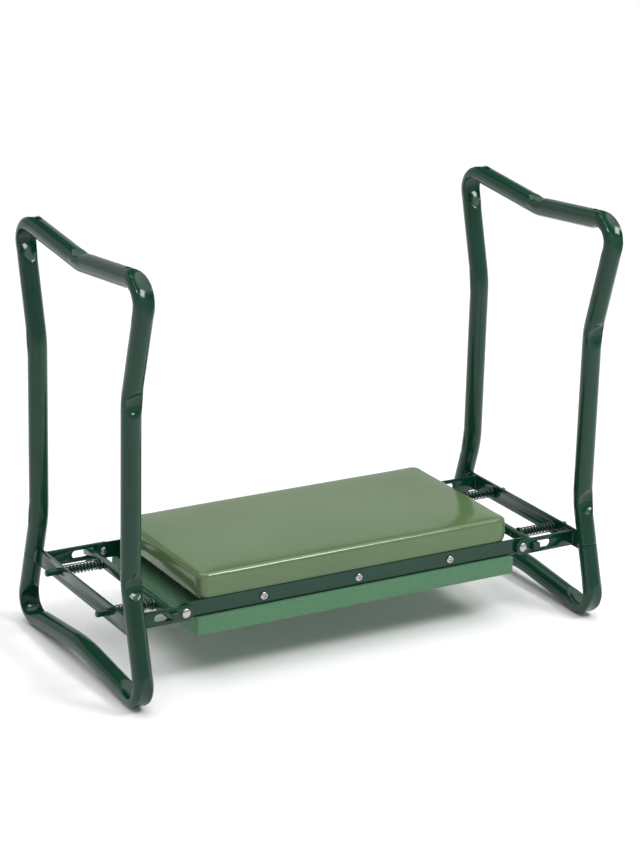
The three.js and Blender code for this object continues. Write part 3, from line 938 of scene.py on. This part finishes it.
def bend_shape(corners, i):
    """Unit vectors from a corner to its neighbours, and half the angle between them."""
    corner = corners[i][0]
    back = (corners[i - 1][0] - corner).normalized()
    on = (corners[i + 1][0] - corner).normalized()
    return back, on, back.angle(on) / 2


def draw_run(path, end, lengths):
    """Extrude the selected ring straight on to a place, in steps of the given lengths."""
    run = end - path[-1]
    for length in lengths:
        step = run * length / sum(lengths)
        bpy.ops.mesh.extrude_region_move(TRANSFORM_OT_translate={"value": step})
        path.append(path[-1] + step)


def draw_tube(corners, spacing):
    """Draw a tube on from its selected first ring; returns the middles of its rings."""
    path = [corners[0][0]]
    fine = [0.0003, 0.0003, 0.0008, 0.0015]
    for i in range(1, len(corners) - 1):
        corner, bend = corners[i]
        back, on, half = bend_shape(corners, i)
        start = corner + back * bend / math.tan(half)
        centre = corner + (back + on).normalized() * bend / math.sin(half)
        count = max(1, round((start - path[-1]).length / spacing))
        draw_run(path, start, (fine if i == 1 else []) + [spacing] * count)
        sweep = math.pi - 2 * half
        steps = max(4, round(sweep * bend / spacing))
        axis = back.cross(on)
        bpy.ops.mesh.spin(steps=steps, angle=sweep, center=centre, axis=axis)
        spoke = start - centre
        for k in range(1, steps + 1):
            path.append(centre + Matrix.Rotation(-sweep * k / steps, 3, axis) @ spoke)
    count = max(1, round((corners[-1][0] - path[-1]).length / spacing))
    draw_run(path, corners[-1][0], [spacing] * count + fine[::-1])
    return path


def work_tube(piece, path, presses):
    """Press bending flats into a tube, each (place, side, half length, depth), and its seam.

    A press on side 1 is on the outside of the hoop and one on side -1 is on the inside.
    """
    radius = bpy.context.scene.kneeler_hoop.tube_radius
    sink, spread = 1.4, 0.08
    seam_reach, seam_depth = 0.0007, 0.07
    tree = KDTree(len(path))
    for i, middle in enumerate(path):
        tree.insert(middle, i)
    tree.balance()
    for vertex in piece.data.vertices:
        middle, i, _ = tree.find(vertex.co)
        along = (path[min(i + 1, len(path) - 1)] - path[max(i - 1, 0)]).normalized()
        outward = Vector((1, 0, 0)).cross(along)
        spoke = vertex.co - middle
        for place, side, half_length, depth in presses:
            reach = (middle - place).length / half_length
            height = spoke.dot(outward) * side
            if reach < 1 and height > 0:
                limit = radius - depth * (1 - reach ** 2) ** 0.9
                over = max(0, height - limit)
                spoke -= outward * side * over * sink
                spoke.x *= 1 + spread * (1 - reach ** 2)
        groove = (middle - path[0]).length
        if groove < seam_reach:
            spoke *= 1 - seam_depth * (1 - groove / seam_reach)
        vertex.co = middle + spoke


class KNEELER_OT_hoops(bpy.types.Operator):
    """Bend the two tube hoops, with their pressed flats, seams and stay holes"""

    bl_idname = "kneeler.hoops"
    bl_label = "Tube hoops"

    def execute(self, context):
        sizes = context.scene.kneeler_hoop
        corners = hoop_corners()
        first, second = corners[0][0], corners[1][0]
        heading = second - first
        clear_pick()
        bpy.ops.mesh.primitive_circle_add(
            vertices=48, radius=sizes.tube_radius, location=first,
            rotation=(math.atan2(-heading.y, heading.z), 0, 0))
        hoop = new_piece("hoop_tube_right")
        set_down(hoop)
        to_edit_mode()
        bpy.ops.mesh.select_mode(type="VERT")
        bpy.ops.mesh.select_all(action="SELECT")
        path = draw_tube(corners, 0.0030)
        bpy.ops.mesh.select_all(action="SELECT")
        bpy.ops.mesh.remove_doubles(threshold=2e-5)
        bpy.ops.mesh.normals_make_consistent(inside=False)
        to_object_mode()

        deep = sizes.crush_depth
        presses = []
        for bends, shift, side, half_length, depth in (
                ((4,), 0, 1, 0.012, deep), ((1, 2, 6, 7), 0, 1, 0.0155, deep),
                ((3, 10), -0.2, -1, 0.033, deep * 1.9), ((5, 8), 0.2, -1, 0.033, deep * 1.9),
                ((3, 5), 0, 1, 0.024, deep * 0.8), ((8, 10), 0, 1, 0.022, deep * 0.6)):
            for i in bends:
                presses.append((self.bend_place(corners, i, shift), side, half_length, depth))
        work_tube(hoop, path, presses)

        hole_y, hole_radius, hole_reach = 0.110, 0.0036, 0.014
        rise = corners[3][0].z - sizes.dip_height
        z = sizes.dip_height + rise * hole_y / sizes.handle_half_width
        for y in (-hole_y, hole_y):
            combine(hoop, rod("stay_hole", (HOOP_X, y, z - hole_reach), (HOOP_X, y, z + hole_reach),
                              hole_radius, 24), "DIFFERENCE")
        pick_only(hoop)
        bpy.ops.object.shade_smooth_by_angle(angle=math.radians(34))
        fit_pair(hoop, "hoop_tube_left", "leg", finish("powder_coat"), "hoop")
        return {"FINISHED"}

    @staticmethod
    def bend_place(corners, i, shift):
        """Middle of a bend on the centre line, moved a share of the way to its start or end."""
        corner, bend = corners[i]
        back, on, half = bend_shape(corners, i)
        middle = corner + (back + on).normalized() * (bend / math.sin(half) - bend)
        far = corner + (on if shift > 0 else back) * bend / math.tan(half)
        return middle.lerp(far, abs(shift))


# ---------------------------------------------------------------- plates, arms and welds

def weld_bead(name, start, end, radius):
    """Hand-laid weld bead between two points, rippled along its length."""
    start, end = Vector(start), Vector(end)
    piece = rod(name, start, end, radius, 10)
    along = (end - start).normalized()
    length = (end - start).length
    cuts = max(6, int(length / 0.0007))
    pick_only(piece)
    to_edit_mode()
    bpy.ops.mesh.select_mode(type="EDGE")
    pick_edges(piece, lambda a, b: abs((b - a).normalized().dot(along)) > 0.99)
    bpy.ops.mesh.subdivide(number_cuts=cuts)
    to_object_mode()
    for vertex in piece.data.vertices:
        reach = (vertex.co - start).dot(along)
        middle = start + along * reach
        ripple = 0.16 * abs(math.sin(reach / 0.0011)) + 0.3 * noise(vertex.co * 420)
        ends = min(1, 0.35 + min(reach, length - reach) / (1.2 * radius))
        vertex.co = middle + (vertex.co - middle) * (0.85 + ripple) * ends
    pick_only(piece)
    bpy.ops.object.shade_smooth()
    return piece


class KNEELER_OT_plates(bpy.types.Operator):
    """Cut the cross plates and slotted arms and weld them to the hoops"""

    bl_idname = "kneeler.plates"
    bl_label = "Cross plates and arms"

    def execute(self, context):
        coat = finish("powder_coat")
        low, high = corners_of("right_cross_plate")
        sizes = context.scene.kneeler_hoop
        pin_hole, arm_nose = 0.0043, 0.0040
        spread = sizes.foot_half_width - sizes.waist_half_width
        slope = spread / (sizes.knee_height - sizes.foot_height)
        top_y = high.y - (high.z - low.z) * slope
        plate = block("cross_plate_right", low, high)
        to_edit_mode()
        bpy.ops.mesh.select_mode(type="VERT")
        pick_vertices(plate, lambda co: co.z > PIVOT.z)
        bpy.ops.transform.resize(value=(1, top_y / high.y, 1), center_override=PIVOT * Vector((1, 0, 1)))
        to_object_mode()
        for side in (-1, 1):
            y = side * PIN_Y
            hole = rod("pin_hole", (low.x - 2 * MM, y, PIVOT.z), (high.x + 2 * MM, y, PIVOT.z),
                       pin_hole)
            combine(plate, hole, "DIFFERENCE")
        soften(plate, 0.0004)
        fit_pair(plate, "cross_plate_left", "leg", coat, "cross_plate")

        arm_low, arm_high = corners_of("right_arm_rear")
        arm = block("arm_right_rear", arm_low, arm_high)
        round_edges(arm, lambda a, b: max(a.x, b.x) < arm_low.x + MM and abs(a.z - b.z) < MM,
                    arm_nose, 1)
        slot_start, slot_end, half_slot = 0.2296, 0.2523, 0.0047
        cutter = block("slot_cut", (slot_start, arm_low.y - MM, PIVOT.z - half_slot),
                       (slot_end, arm_high.y + MM, PIVOT.z + half_slot))
        combine(cutter, rod("slot_round", (slot_end, arm_low.y - MM, PIVOT.z),
                            (slot_end, arm_high.y + MM, PIVOT.z), half_slot), "UNION")
        combine(arm, cutter, "DIFFERENCE")
        soften(arm, 0.0004)
        for (end, edge), piece in four_of("arm", arm).items():
            fit(piece, f"{end}_leg", coat, [f"{end}_arm_{edge}"])

        inner_x, outer_x = low.x, high.x
        tube_bead, arm_bead, cap_bead = 0.0027, 0.0018, 0.0013
        arm_middle = (arm_low.y + arm_high.y) / 2
        beads = []
        for side in (-1, 1):
            for x, out in ((inner_x, -1), (outer_x, 1)):
                beads.append(weld_bead(
                    "bead", (x + out * 0.0012, side * (high.y - 0.0004), low.z + 0.001),
                    (x + out * 0.0012, side * (top_y - 0.0004), high.z - 0.001), tube_bead))
            for y in (arm_low.y, arm_high.y):
                beads.append(weld_bead(
                    "bead", (inner_x - 0.0004, side * y, arm_low.z + 0.001),
                    (inner_x - 0.0004, side * y, arm_high.z - 0.001), arm_bead))
            beads.append(weld_bead(
                "bead", (inner_x - 0.0002, side * arm_middle - 0.0012, arm_high.z),
                (inner_x - 0.0002, side * arm_middle + 0.0012, arm_high.z), cap_bead))
        welds = merge_pieces("welds_right", beads)
        fit_pair(welds, "welds_left", "leg", finish("weld_coat"))
        return {"FINISHED"}


# ---------------------------------------------------------------- spring latches

def coil(name, radius, wire, start, rise, turns, first_angle):
    """Length of round wire wound about the Z axis from a height, made with a screw."""
    clear_pick()
    place = Vector((radius * math.cos(first_angle), radius * math.sin(first_angle), start))
    bpy.ops.mesh.primitive_circle_add(
        vertices=12, radius=wire, location=place, rotation=(math.pi / 2, 0, first_angle))
    piece = new_piece(name)
    set_down(piece)
    apply_modifier(piece, "SCREW", axis="Z", angle=math.tau * turns, screw_offset=rise,
                   steps=int(28 * turns), render_steps=int(28 * turns), use_merge_vertices=False)
    return piece


class KNEELER_OT_latches(bpy.types.Operator):
    """Make the sprung latch bars with their guide pins, collars and springs"""

    bl_idname = "kneeler.latches"
    bl_label = "Spring latches"

    def execute(self, context):
        coat = finish("powder_coat")
        low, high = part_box("right_latch_bar")
        bar = block("latch_bar_right", low, high)
        soften(bar, 0.0009, segments=3)
        fit_pair(bar, "latch_bar_left", "latch", coat, "latch_bar")

        low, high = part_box("right_guide_pin_rear")
        length, radius = high[0] - low[0], 0.0037
        pin = turned("guide_pin_right_rear", (low[0], PIN_Y, PIVOT.z), (1, 0, 0), [
            (0, 0), (0, radius - 0.0012), (0.0003, radius - 0.0006), (0.0010, radius),
            (length - 0.0014, radius), (length - 0.0006, radius - 0.0003),
            (length - 0.0001, radius - 0.0010), (length, radius - 0.0018), (length, 0)])
        for (end, edge), piece in four_of("guide_pin", pin).items():
            fit(piece, f"{end}_latch", coat, [f"{end}_guide_pin_{edge}"])

        low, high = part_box("right_collar_rear")
        thick, bore, rim, edge_radius = high[0] - low[0], 0.0040, 0.0068, 0.0003
        collar = turned("collar_right_rear", (low[0], PIN_Y, PIVOT.z), (1, 0, 0), [
            (edge_radius, bore), (0, bore + edge_radius), (0, rim - edge_radius),
            (edge_radius, rim), (thick - edge_radius, rim), (thick, rim - edge_radius),
            (thick, bore + edge_radius), (thick - edge_radius, bore), (edge_radius, bore)])
        for (end, edge), piece in four_of("collar", collar).items():
            fit(piece, f"{end}_latch", finish("coil_steel"),
                [f"{end}_collar_{edge}"])

        low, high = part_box("right_spring_rear")
        wire, radius, pitch = 0.00075, 0.0054, 0.0016
        length = high[0] - low[0] - 2 * wire
        coils = [
            coil("spring_right_rear", radius, wire, 0, pitch, 1, 0),
            coil("coil", radius, wire, pitch, length - 2 * pitch, 10, 0),
            coil("coil", radius, wire, length - pitch, pitch, 1, 0),
        ]
        spring = merge_pieces("spring_right_rear", coils)
        to_edit_mode()
        bpy.ops.mesh.select_all(action="SELECT")
        bpy.ops.mesh.remove_doubles(threshold=NEAR)
        bpy.ops.mesh.select_all(action="DESELECT")
        bpy.ops.mesh.select_mode(type="EDGE")
        bpy.ops.mesh.select_non_manifold()
        bpy.ops.mesh.edge_face_add()
        bpy.ops.mesh.select_all(action="SELECT")
        bpy.ops.mesh.normals_make_consistent(inside=False)
        to_object_mode()
        spring.rotation_euler = (0, math.pi / 2, 0)
        spring.location = (low[0] + wire, PIN_Y, PIVOT.z)
        set_down(spring)
        bpy.ops.object.shade_smooth_by_angle(angle=math.radians(50))
        for (end, edge), piece in four_of("spring", spring).items():
            fit(piece, f"{end}_leg", finish("coil_steel"),
                [f"{end}_spring_{edge}"])
            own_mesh(piece)
        return {"FINISHED"}


# ---------------------------------------------------------------- rails and fasteners

class KNEELER_OT_rails(bpy.types.Operator):
    """Fold the two angle rails, with their round noses and the lips under the latches"""

    bl_idname = "kneeler.rails"
    bl_label = "Angle rails"

    def execute(self, context):
        coat = finish("powder_coat")
        low, high = corners_of("rail_rear")
        steel, flange_x, lip_z, nose, bend = 0.002, 0.203, 0.082, 0.010, 0.0048
        inner = high.y - steel
        rail = block("rail_strip_rear", (low.x, inner, low.z), high)
        for x in (-flange_x, flange_x):
            cut_across(rail, (x, 0, 0), (1, 0, 0))
        cut_across(rail, (0, 0, low.z + steel), (0, 0, 1))
        to_edit_mode()
        bpy.ops.mesh.select_mode(type="FACE")
        pick_faces(rail, lambda middle, normal: normal.y < -0.9 and abs(middle.x) < flange_x
                   and middle.z < low.z + steel)
        bpy.ops.mesh.extrude_region_move(TRANSFORM_OT_translate={"value": (0, low.y - inner, 0)})
        to_object_mode()

        def at(y, z):
            return lambda a, b: all(abs(p.y - y) < NEAR and abs(p.z - z) < NEAR for p in (a, b))

        round_edges(rail, at(high.y, low.z), bend, 7)
        round_edges(rail, at(inner, low.z + steel), bend - steel, 4)
        for side in (-1, 1):
            ends = sorted((side * PIVOT.x, side * (high.x + 0.002)))
            cutter = block("nose_cut", (ends[0], inner - MM, lip_z), (ends[1], high.y + MM, 0.1))
            disc = rod("nose", (side * PIVOT.x, inner - 2 * MM, PIVOT.z),
                       (side * PIVOT.x, high.y + 2 * MM, PIVOT.z), nose, 96)
            combine(cutter, disc, "DIFFERENCE")
            combine(rail, cutter, "DIFFERENCE")
        soften(rail, 0.0003)
        fit(rail, "seat", coat, ["rail_rear"])
        front = copied(rail, "rail_strip_front", HALF_TURN)
        fit(front, "seat", coat, ["rail_front"])
        return {"FINISHED"}


class KNEELER_OT_fasteners(bpy.types.Operator):
    """Set the rivets, their washers and the cross-recess screws"""

    bl_idname = "kneeler.fasteners"
    bl_label = "Rivets and screws"

    def execute(self, context):
        steel = finish("plated_steel")
        head_y, tail_y = 0.1059, 0.0987
        dome = [(head_y + 0.0026 * math.sin(a), 0.0056 * math.cos(a))
                for a in (math.radians(d) for d in (0, 8, 18, 30, 42, 54, 66, 78, 90))]
        rivet = turned("rivet_head_right_rear", (PIVOT.x, 0, PIVOT.z), (0, 1, 0), [
            (tail_y - 0.0020, 0), (tail_y - 0.0019, 0.0026), (tail_y - 0.0014, 0.0038),
            (tail_y - 0.0006, 0.0045), (tail_y, 0.0046), (tail_y, 0.0030),
            (head_y, 0.0030), (head_y, 0.0054)] + dome)
        cut_cross(rivet, Vector((PIVOT.x, tail_y - 0.0020, PIVOT.z)), 0.0030, 0.0007, 0.0004)
        for (end, edge), piece in four_of("rivet_head", rivet).items():
            fit(piece, "seat", steel, [f"rivet_{end}_{edge}"])

        low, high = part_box("spacer_right_rear")
        washer = turned("washer_right_rear", (PIVOT.x, low[1], PIVOT.z), (0, 1, 0), [
            (0.0001, 0.0034), (0, 0.0036), (0, 0.0077), (0.0003, 0.0080), (0.0007, 0.0080),
            (0.0010, 0.0077), (0.0010, 0.0036), (0.0009, 0.0034), (0.0001, 0.0034)])
        for (end, edge), piece in four_of("washer", washer).items():
            fit(piece, "seat", steel, [f"spacer_{end}_{edge}"])

        for i in (1, 2, 3):
            low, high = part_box(f"screw_rear_{i}")
            x, z, seat_y = (low[0] + high[0]) / 2, (low[2] + high[2]) / 2, 0.1013
            screw = turned(f"screw_head_rear_{i}", (x, 0, z), (0, 1, 0), [
                (low[1], 0), (low[1] + 0.003, 0.0017), (seat_y, 0.0019), (seat_y, 0.0045),
                (seat_y + 0.0003, 0.0047), (seat_y + 0.0011, 0.0046), (seat_y + 0.0017, 0.0041),
                (seat_y + 0.0021, 0.0033), (high[1], 0.0019), (high[1], 0)])
            cut_cross(screw, Vector((x, high[1], z)), 0.0025, 0.0012, 0.0005)
            fit(screw, "seat", steel, [f"screw_rear_{i}"])
            front = copied(screw, f"screw_head_front_{4 - i}", HALF_TURN)
            fit(front, "seat", steel, [f"screw_front_{4 - i}"])
        return {"FINISHED"}


# ---------------------------------------------------------------- pad, cloth and board

def swell(piece, pressure, most, held):
    """Blow a closed skin up from inside with cloth simulation, holding the vertices in held."""
    places = [vertex.co.copy() for vertex in piece.data.vertices]
    pins = piece.vertex_groups.new(name="held")
    pins.add([i for i, place in enumerate(places) if held(place)], 1.0, "REPLACE")
    pick_only(piece)
    cloth = piece.modifiers.new("Stuffing", "CLOTH")
    cloth.settings.quality = 6
    cloth.settings.mass = 0.3
    cloth.settings.tension_stiffness = 12
    cloth.settings.compression_stiffness = 12
    cloth.settings.bending_stiffness = 2
    cloth.settings.use_pressure = True
    cloth.settings.uniform_pressure_force = pressure
    cloth.settings.vertex_group_mass = "held"
    cloth.settings.effector_weights.gravity = 0
    for step in range(1, 21):
        bpy.context.scene.frame_set(step)
    bpy.ops.object.modifier_apply(modifier=cloth.name)
    bpy.context.scene.frame_set(1)
    piece.vertex_groups.clear()
    moves = [vertex.co - place for vertex, place in zip(piece.data.vertices, places)]
    largest = max(move.length for move in moves)
    for vertex, place, move in zip(piece.data.vertices, places, moves):
        vertex.co = place + move * (most / largest)


class KNEELER_OT_pad(bpy.types.Operator):
    """Blow up the glossy pad from a crisp-edged block"""

    bl_idname = "kneeler.pad"
    bl_label = "Seat pad"

    def execute(self, context):
        sizes = context.scene.kneeler_seat
        low, high = corners_of("pad_skin")
        spare = Vector((0.0010, 0.0006, 0.0026))
        pad = block("pad_cover", low - spare * Vector((1, 1, 0)), high + spare)
        corner = high + spare
        round_edges(pad, lambda a, b: abs(a.z - b.z) > MM, sizes.pad_corner, 6)
        round_edges(pad, lambda a, b: min(a.z, b.z) > corner.z - NEAR, sizes.pad_edge, 5)
        round_edges(pad, lambda a, b: max(a.z, b.z) < low.z + NEAR, sizes.pad_edge / 3, 3)
        for axis, half, cuts in ((0, corner.x - sizes.pad_corner, 42),
                                 (1, corner.y - sizes.pad_corner, 19)):
            normal = [float(i == axis) for i in range(3)]
            for k in range(cuts + 1):
                cut_across(pad, [n * half * (2 * k / cuts - 1) for n in normal], normal)
        for height in (0.35, 0.65):
            cut_across(pad, (0, 0, low.z + (high.z - low.z) * height), (0, 0, 1))
        swell(pad, sizes.pad_pressure, sizes.pad_swell, lambda p: p.z < low.z + 0.003)
        self.roll_edges(pad, low, corner)
        apply_modifier(pad, "SUBSURF", levels=1, render_levels=1)
        bpy.ops.object.shade_smooth()
        filling = copied(pad, "pad_filling", (0, 0, 0))
        to_edit_mode()
        bpy.ops.mesh.select_all(action="SELECT")
        bpy.ops.transform.shrink_fatten(value=-0.0015)
        to_object_mode()
        fit(pad, "seat", finish("glossy_skin"), ["pad_skin"])
        fit(filling, "seat", finish("pad_filling"), ["pad_foam"])
        return {"FINISHED"}

    @staticmethod
    def roll_edges(pad, low, high):
        """Let the top fall towards its rim, the sides lap over the rails and the ends ripple."""
        roll_reach, roll_drop, fullness, ripple = 0.022, 0.0012, 0.0026, 0.0005
        for vertex in pad.data.vertices:
            place = vertex.co
            inset = min(high.x - abs(place.x), high.y - abs(place.y))
            if place.z > high.z - 0.004 and inset > 0:
                fall = max(0, 1 - inset / roll_reach)
                place.z -= roll_drop * fall * fall
            climb = (place.z - low.z - 0.0012) / (high.z - low.z)
            if inset < 0.004 and 0 < climb < 1:
                belly = fullness * (1 - (1 - min(1, climb * 5)) ** 2) * (1 - 0.75 * climb)
                if abs(place.x) > high.x - 0.004:
                    wave = noise(Vector((place.y * 38, place.z * 70, place.x)))
                    belly += ripple * wave * (1 - climb)
                    place.x += math.copysign(belly, place.x)
                if abs(place.y) > high.y - 0.004:
                    place.y += math.copysign(belly, place.y)


class KNEELER_OT_backing(bpy.types.Operator):
    """Gather the black cloth round the hidden board"""

    bl_idname = "kneeler.backing"
    bl_label = "Backing cloth"

    def execute(self, context):
        sizes = context.scene.kneeler_seat
        low, high = corners_of("backing_cloth")
        cloth = block("backing_wrap", low, high)
        for axis, cuts in ((0, 30), (1, 130), (2, 6)):
            cut_along(cloth, axis, cuts)
        to_edit_mode()
        bpy.ops.mesh.select_mode(type="FACE")
        pick_faces(cloth, lambda middle, normal: normal.z > 0.9)
        bpy.ops.mesh.delete(type="FACE")
        to_object_mode()
        for vertex in cloth.data.vertices:
            place = vertex.co
            side = 1 if place.x > 0 else -1
            if abs(place.x) > high.x - NEAR:
                climb = (place.z - low.z) / (high.z - low.z)
                edge = min(1, (high.y - abs(place.y)) / 0.008)
                wander = place.y + 0.006 * noise(Vector((place.y * 60, side * 9, 2.0)))
                wander += 0.0020 * noise(Vector((place.y * 45, climb * 2.2, side * 5)))
                ridge = 1 - abs(math.sin(wander * 340))
                small = 0.5 + 0.5 * noise(Vector((place.y * 420, climb * 3, side)))
                lift = (0.72 * ridge ** 1.5 + 0.35 * small) * (0.45 + 0.55 * climb) * edge
                place.x += side * sizes.fold_depth * lift
            else:
                place.z -= 0.0003 * noise(place * 70)
        apply_modifier(cloth, "SOLIDIFY", thickness=0.0008, offset=-1)
        pick_only(cloth)
        bpy.ops.object.shade_smooth_by_angle(angle=math.radians(60))
        fit(cloth, "seat", finish("gathered_cloth"), ["backing_cloth"])
        return {"FINISHED"}


class KNEELER_OT_board(bpy.types.Operator):
    """Cut the foam kneeling board, with the line where its top sheet is bonded"""

    bl_idname = "kneeler.board"
    bl_label = "Foam board"

    def execute(self, context):
        low, high = corners_of("kneeling_board")
        board = block("foam_board", low, high)
        line_z, line_half, line_depth = high.z - 0.0032, 0.0005, 0.0004
        wander, inset = 0.00022, 0.00025
        for rise in (-line_half, 0, line_half):
            cut_across(board, (0, 0, line_z + rise), (0, 0, 1))
        for axis, cuts in ((0, 60), (1, 32)):
            cut_along(board, axis, cuts)
        for vertex in board.data.vertices:
            place = vertex.co
            if abs(place.z - line_z) < NEAR:
                place.x *= 1 - line_depth / high.x
                place.y *= 1 - line_depth / high.y
            wave = wander * noise(place * 24)
            if abs(place.x) > high.x - MM:
                place.x += wave - inset if place.x > 0 else inset - wave
            if abs(place.y) > high.y - MM:
                place.y += wave - inset if place.y > 0 else inset - wave
            if place.z < low.z + NEAR:
                place.z += wander + wave
        soften(board, 0.0005, angle=50, segments=2)
        fit(board, "seat", finish("board_foam"), ["kneeling_board"])
        return {"FINISHED"}


class KNEELER_OT_inside(bpy.types.Operator):
    """Give the board inside the backing cloth its finish"""

    bl_idname = "kneeler.inside"
    bl_label = "Hidden board"

    def execute(self, context):
        for material_slot in bpy.data.objects["base_board"].material_slots:
            material_slot.material = finish("plywood")
        return {"FINISHED"}


# ---------------------------------------------------------------- stage

def soft_light(name, place, aim, size, power):
    """Large square light that faces a point."""
    clear_pick()
    place, aim = Vector(place), Vector(aim)
    turn = (aim - place).to_track_quat("-Z", "Y").to_euler()
    bpy.ops.object.light_add(type="AREA", location=place, rotation=turn)
    light = bpy.context.object
    light.name = name
    light.data.size = size
    light.data.energy = power
    return light


class KNEELER_OT_stage(bpy.types.Operator):
    """Set up the pale floor, the soft studio light and the camera"""

    bl_idname = "kneeler.stage"
    bl_label = "Studio"

    def execute(self, context):
        look = context.scene.kneeler_stage
        clear_pick()
        bpy.ops.mesh.primitive_plane_add(size=30, location=(0, 0, -0.0002))
        floor = new_piece("studio_floor")
        set_down(floor)
        floor.data.materials.append(floor_finish("studio_floor", look.floor))

        world = bpy.data.worlds.new("Studio")
        world.use_nodes = True
        context.scene.world = world
        nodes = world.node_tree.nodes
        nodes.clear()
        heading = nodes.new("ShaderNodeTexCoord")
        heading.label = "Heading in the room"
        parts = nodes.new("ShaderNodeSeparateXYZ")
        parts.label = "Height of the heading"
        panels = nodes.new("ShaderNodeValToRGB")
        panels.label = "Walls, dark gap and soft ceiling"
        panels.color_ramp.elements[0].position = 0.47
        panels.color_ramp.elements[0].color = (0.31, 0.31, 0.31, 1)
        panels.color_ramp.elements[1].position = 0.80
        panels.color_ramp.elements[1].color = (1, 1, 1, 1)
        for position, level in ((0.53, 0.05), (0.70, 0.06)):
            element = panels.color_ramp.elements.new(position)
            element.color = (level, level, level, 1)
        sky = nodes.new("ShaderNodeBackground")
        sky.label = "Room light"
        sky.inputs["Strength"].default_value = 2.1
        out = nodes.new("ShaderNodeOutputWorld")
        out.label = "Room"
        links = world.node_tree.links
        links.new(heading.outputs["Generated"], parts.inputs["Vector"])
        links.new(parts.outputs["Z"], panels.inputs["Fac"])
        links.new(panels.outputs["Color"], sky.inputs["Color"])
        links.new(sky.outputs["Background"], out.inputs["Surface"])
        set_out([[heading], [parts], [panels], [sky], [out]])

        soft_light("key_light", (1.0, -1.3, 2.0), (0, 0, 0.15), 0.7, 26)

        aim = Vector((look.target_x, 0, look.target_z))
        back = Vector((-math.sin(look.azimuth) * math.cos(look.elevation),
                       -math.cos(look.azimuth) * math.cos(look.elevation),
                       math.sin(look.elevation)))
        right = Vector((math.cos(look.azimuth), -math.sin(look.azimuth), 0))
        up = back.cross(right)
        tilted_right = right * math.cos(look.roll) + up * math.sin(look.roll)
        tilted_up = back.cross(tilted_right)
        turn = Matrix((tilted_right, tilted_up, back)).transposed().to_4x4()
        bpy.ops.object.camera_add()
        camera = context.object
        camera.name = "studio_camera"
        camera.matrix_world = Matrix.Translation(aim + back * look.distance) @ turn
        camera.data.sensor_fit = "HORIZONTAL"
        camera.data.sensor_width = 36
        camera.data.lens = look.lens
        camera.data.clip_end = 50
        context.scene.camera = camera
        context.scene.view_settings.view_transform = "Standard"
        return {"FINISHED"}


# ---------------------------------------------------------------- panel and main

class KNEELER_PT_parts(bpy.types.Panel):
    """Buttons and sizes for the garden kneeler"""

    bl_idname = "KNEELER_PT_parts"
    bl_label = "Garden Kneeler"
    bl_space_type = "VIEW_3D"
    bl_region_type = "UI"
    bl_category = "Kneeler"

    def draw(self, context):
        for operator in OPERATORS:
            self.layout.operator(operator.bl_idname)
        for name, (label, _) in SETTINGS.items():
            box = self.layout.box()
            box.label(text=label)
            group = getattr(context.scene, name)
            for key in group.bl_rna.properties.keys():
                if key not in ("rna_type", "name"):
                    box.prop(group, key)


SETTINGS = {
    "kneeler_hoop": ("Hoops", HoopSettings),
    "kneeler_seat": ("Seat", SeatSettings),
    "kneeler_finish": ("Colours", FinishSettings),
    "kneeler_stage": ("Studio", StageSettings),
}

OPERATORS = (
    KNEELER_OT_hoops,
    KNEELER_OT_plates,
    KNEELER_OT_latches,
    KNEELER_OT_rails,
    KNEELER_OT_fasteners,
    KNEELER_OT_pad,
    KNEELER_OT_backing,
    KNEELER_OT_board,
    KNEELER_OT_inside,
    KNEELER_OT_stage,
)


def register():
    for name, (_, group) in SETTINGS.items():
        bpy.utils.register_class(group)
        setattr(bpy.types.Scene, name, bpy.props.PointerProperty(type=group))
    for kind in OPERATORS + (KNEELER_PT_parts,):
        bpy.utils.register_class(kind)


def unregister():
    for kind in (KNEELER_PT_parts,) + OPERATORS[::-1]:
        bpy.utils.unregister_class(kind)
    for name, (_, group) in SETTINGS.items():
        delattr(bpy.types.Scene, name)
        bpy.utils.unregister_class(group)


def main():
    register()
    bpy.ops.kneeler.hoops()
    bpy.ops.kneeler.plates()
    bpy.ops.kneeler.latches()
    bpy.ops.kneeler.rails()
    bpy.ops.kneeler.fasteners()
    bpy.ops.kneeler.pad()
    bpy.ops.kneeler.backing()
    bpy.ops.kneeler.board()
    bpy.ops.kneeler.inside()
    bpy.ops.kneeler.stage()


if __name__ == "__main__":
    main()
